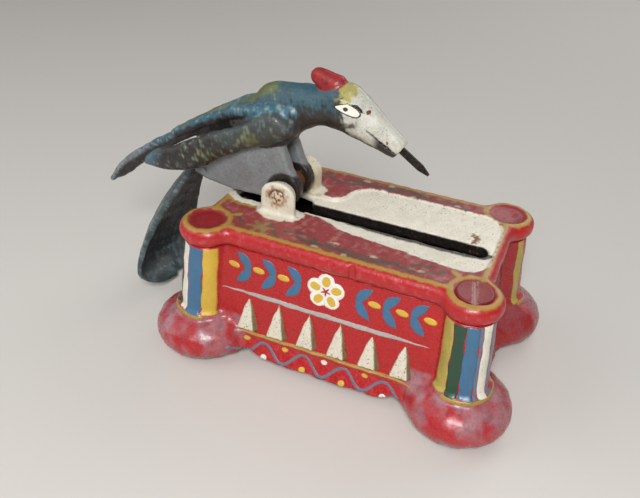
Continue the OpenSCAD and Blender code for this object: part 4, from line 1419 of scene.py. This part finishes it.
def column_stripe(film, sx, sy, angle_0, angle_1):
    """A stripe down a corner column between two angles about its axis: 0 faces along X, 90 along Y."""
    count = 40
    s = np.linspace(0, 1, count)
    z = STRIPE_TOP + (STRIPE_FOOT - STRIPE_TOP) * s
    lean = (BODY_TOP - z) / (BODY_TOP - RIDGE)
    cx = DISC_X + (FOOT_X - DISC_X) * lean
    cy = DISC_Y + (FOOT_Y - DISC_Y) * lean
    radius = COLUMN_R + (COLUMN_FOOT_R - COLUMN_R) * lean
    a = math.radians((angle_0 + angle_1) / 2)
    out = np.array([sx * math.cos(a), sy * math.sin(a), 0])
    path = np.stack([sx * cx, sy * cy, z], -1) + out * 20
    half = radius * math.sin(math.radians(angle_1 - angle_0) / 2)
    wobble = 0.22 * np.sin(s * 9 + angle_0) + 0.14 * np.sin(s * 23 + angle_1)
    film.stroke(path, half + wobble, -out, 9)


# Each diagonal pair of columns carries the same stripes: paint, from angle, to angle.
PAIR_WITH_SCREWS = {"olive": (112, 148), "green": (84, 113), "blue": (53, 85), "slate": (45, 54),
    "cream": (21, 46), "slate_side": (4, 22), "olive_side": (-40, -16)}
PAIR_PLAIN = {"yellow": (107, 147), "blue": (68, 108), "cream": (45, 69), "green": (20, 46),
    "olive_side": (-40, -16)}
SCREW_CORNERS = ((1, -1), (-1, 1))
PLAIN_CORNERS = ((-1, -1), (1, 1))


def stripes(film, *names):
    """Draws the named stripes on all the columns that have them."""
    for corners, stripe_set in ((SCREW_CORNERS, PAIR_WITH_SCREWS), (PLAIN_CORNERS, PAIR_PLAIN)):
        for name in names:
            if name in stripe_set:
                for sx, sy in corners:
                    column_stripe(film, sx, sy, *stripe_set[name])


def box_film(name, material, draw=None, stripe_names=(), proud=0.13):
    """A film of paint on the box: what draw puts on each long wall, and the named stripes on the columns."""
    film = Film(box_field, BOX, "box", "red_enamel", proud)
    if draw:
        for sign in SIGNS:
            draw(film, sign)
    stripes(film, *stripe_names)
    film.finish(name, material)


blue_paint = oil_enamel("blue_brush_paint", LEAF_BLUE, chips=0.05, mottle=0.25)
yellow_paint = oil_enamel("yellow_brush_paint", YELLOW, chips=0.12, mottle=0.3)
white_paint = oil_enamel("white_brush_paint", PETAL_WHITE, chips=0.08, mottle=0.2)
silver_paint = oil_enamel("silver_brush_paint", SILVER, chips=0.3, mottle=0.5)
slate_paint = oil_enamel("slate_brush_paint", SLATE, chips=0.2, mottle=0.4)
green_paint = oil_enamel("dark_green_brush_paint", STRIPE_GREEN, chips=0.1, mottle=0.4)
cream_paint = oil_enamel("cream_brush_paint", CREAM, chips=0.4, mottle=0.4)
gold_paint = oil_enamel("gold_brush_paint", GOLD, chips=0.42, mottle=0.5)
red_paint = oil_enamel("red_brush_paint", CENTRE_RED, chips=0.05, mottle=0.2)
olive_paint = oil_enamel("olive_yellow_brush_paint", OLIVE, chips=0.4, mottle=0.5)

box_film("painted_blue_leaves_and_stripes", blue_paint, leaves, ["blue"])
box_film("painted_yellow_dashes_and_stripes", yellow_paint, dashes, ["yellow"])
box_film("painted_white_petals", white_paint, white_petals)
box_film("painted_petal_hearts", yellow_paint, petal_hearts, proud=0.24)
box_film("painted_flower_centre", red_paint, flower_centre, proud=0.3)
box_film("painted_silver_line", silver_paint, silver_line)
box_film("painted_wavy_line", slate_paint, wavy_line)
box_film("painted_yellow_dots", yellow_paint, yellow_dots)
box_film("painted_cream_dots", cream_paint, cream_dots)
box_film("painted_green_stripes", green_paint, stripe_names=["green"])
box_film("painted_cream_stripes", cream_paint, stripe_names=["cream"])
box_film("painted_olive_stripes", olive_paint, stripe_names=["olive", "olive_side"])
box_film("painted_slate_stripes", slate_paint, stripe_names=["slate", "slate_side"])

film = Film(box_field, BOX, "box", "red_enamel")
for sign in SIGNS:
    along = [(x, RIDGE + 1.1 + 0.12 * math.sin(x * 0.4)) for x in range(-46, 47, 4)]
    thin = 0.62 * np.sqrt(np.clip(1 - np.linspace(-1, 1, 110) ** 8, 0.01, 1))
    line_on_wall(film, along, thin, sign, 110)
for sx in (-1, 1):
    for sy in (-1, 1):
        a = np.radians(np.linspace(-28, 118, 50))
        out = np.stack([sx * np.cos(a), sy * np.sin(a), 0 * a], -1)
        foot_top = np.array([sx * FOOT_X, sy * FOOT_Y, 24.0])
        film.stroke(foot_top + out * 24, 0.95, -out - np.array([0, 0, 0.12]))
film.finish("painted_gold_lines", gold_paint)


# ---------- the bird's eye ----------

def eye_film(proud):
    return Film(bird_field, PIVOT, "bird", "blue_enamel", proud)


def eye_stroke(film, points, half, head=0.5, count=26):
    flat = smooth_path(points, count)
    path = np.stack([flat[:, 0], np.full(count, -20.0), flat[:, 1]], -1)
    film.stroke(path, leaf_widths(count, half, head), (0, 1, 0))


def mirrored(piece, name):
    """A copy of a piece on the other side of the bird's mid-plane, turned the right way out."""
    mesh = piece.data.copy()
    mesh.transform(Matrix.Scale(-1, 4, Vector((0, 1, 0))))
    mesh.flip_normals()
    copy = bpy.data.objects.new(name, mesh)
    bpy.context.scene.collection.objects.link(copy)
    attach(copy, "bird")


grey_paint = oil_enamel("grey_brush_paint", BELLY_GREY, chips=0.1, mottle=0.4)
dark_paint = oil_enamel("black_brush_paint", EYE_BLACK, chips=0.0, mottle=0.2)
eye_white = oil_enamel("eye_white_brush_paint", EYE_WHITE, chips=0.0, mottle=0.15)
eye_brown = oil_enamel("eye_brown_brush_paint", EYE_BROWN, chips=0.0, mottle=0.2)

film = eye_film(0.1)
eye_stroke(film, [(22.9, 48.3), (29, 47.9), (35.1, 45.1)], 2.6)
eye_stroke(film, [(30.4, 50.2), (33.4, 49.2), (35.6, 46.4)], 0.7)
mirrored(film.finish("eye_outline_front", dark_paint), "eye_outline_back")
film = eye_film(0.18)
eye_stroke(film, [(23.4, 48.3), (29, 47.9), (34.6, 45.4)], 2.25)
mirrored(film.finish("eye_white_front", eye_white), "eye_white_back")
film = eye_film(0.26)
eye_stroke(film, [(27.2, 48.0), (28.4, 47.9), (29.6, 47.7)], 1.2)
mirrored(film.finish("eye_pupil_front", eye_brown), "eye_pupil_back")
film = eye_film(0.3)
eye_stroke(film, [(36.9, 47.2), (37.8, 46.8), (38.7, 46.4)], 0.95)
rivet_piece = film.finish("head_rivet_front", rusty_steel)
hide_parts("head_rivet")
mirrored(rivet_piece, "head_rivet_back")


# ---------- CAD pieces that keep their shape ----------

KEPT = {
    "leg_spacer": rusty_steel, "blade_pin": rusty_steel, "shoulder_rivet": grey_paint,
    "paddle_rivet_upper": grey_paint, "paddle_rivet_lower": grey_paint, "beak_blade": blade_steel,
    "base_plate": sheet_steel, "turn_button_front": sheet_steel, "turn_button_back": sheet_steel,
    "button_rivet_front": rusty_steel, "button_rivet_back": rusty_steel,
}
for node_name, finish in KEPT.items():
    piece = frame["nodes"][node_name]
    piece.data.materials.clear()
    piece.data.materials.append(finish)


# ---------- floor, light and camera ----------

def floor():
    """A plain pale floor."""
    mesh = bpy.data.meshes.new("floor")
    r = 3.0
    mesh.from_pydata([(-r, -r, 0), (r, -r, 0), (r, r, 0), (-r, r, 0)], [], [(0, 1, 2, 3)])
    plane = bpy.data.objects.new("floor", mesh)
    bpy.context.scene.collection.objects.link(plane)
    material, tree = new_material("pale_floor")
    shader = add(tree, "ShaderNodeBsdfPrincipled", {"Base Color": rgba(FLOOR_GREY), "Roughness": 0.7})
    add(tree, "ShaderNodeOutputMaterial", {"Surface": shader.outputs[0]})
    mesh.materials.append(material)


def area_light(name, place, aim, size, power):
    """A square soft light at place, in metres, that faces aim."""
    data = bpy.data.lights.new(name, "AREA")
    data.size = size
    data.energy = power
    lamp = bpy.data.objects.new(name, data)
    bpy.context.scene.collection.objects.link(lamp)
    lamp.location = place
    lamp.rotation_euler = (Vector(aim) - Vector(place)).to_track_quat("-Z", "Y").to_euler()


def camera():
    """A camera on a sphere round the aim point, turned about its own axis by roll."""
    aim = Vector((6.95, 0, 45.9)) * MM
    azimuth, height, roll = math.radians(21.56), math.radians(34.04), 0.052
    distance = 374.6 * MM
    away = Vector((math.sin(azimuth) * math.cos(height), -math.cos(azimuth) * math.cos(height),
        math.sin(height)))
    right = Vector((math.cos(azimuth), math.sin(azimuth), 0))
    up = away.cross(right)
    turned_x = math.cos(roll) * right + math.sin(roll) * up
    turned_y = -math.sin(roll) * right + math.cos(roll) * up
    data = bpy.data.cameras.new("camera")
    data.sensor_width = 36.0
    data.lens = 40.78
    data.clip_start = 0.01
    made = bpy.data.objects.new("camera", data)
    bpy.context.scene.collection.objects.link(made)
    axes = Matrix((turned_x, turned_y, away)).transposed().to_4x4()
    made.matrix_world = Matrix.Translation(aim + away * distance) @ axes
    bpy.context.scene.camera = made


floor()
area_light("key", (0.2, -0.6, 0.62), (0, 0, 0.05), 0.24, 5.8)
area_light("fill", (-0.8, -0.4, 0.7), (0, 0, 0.05), 0.9, 3.0)
area_light("rim_light", (0.3, 0.9, 0.7), (0, 0, 0.05), 0.8, 3.0)
world = bpy.data.worlds.new("studio")
world.use_nodes = True
world.node_tree.nodes["Background"].inputs["Color"].default_value = (1, 1, 1, 1)
world.node_tree.nodes["Background"].inputs["Strength"].default_value = 0.23
bpy.context.scene.world = world
bpy.context.scene.view_settings.view_transform = "Standard"
camera()
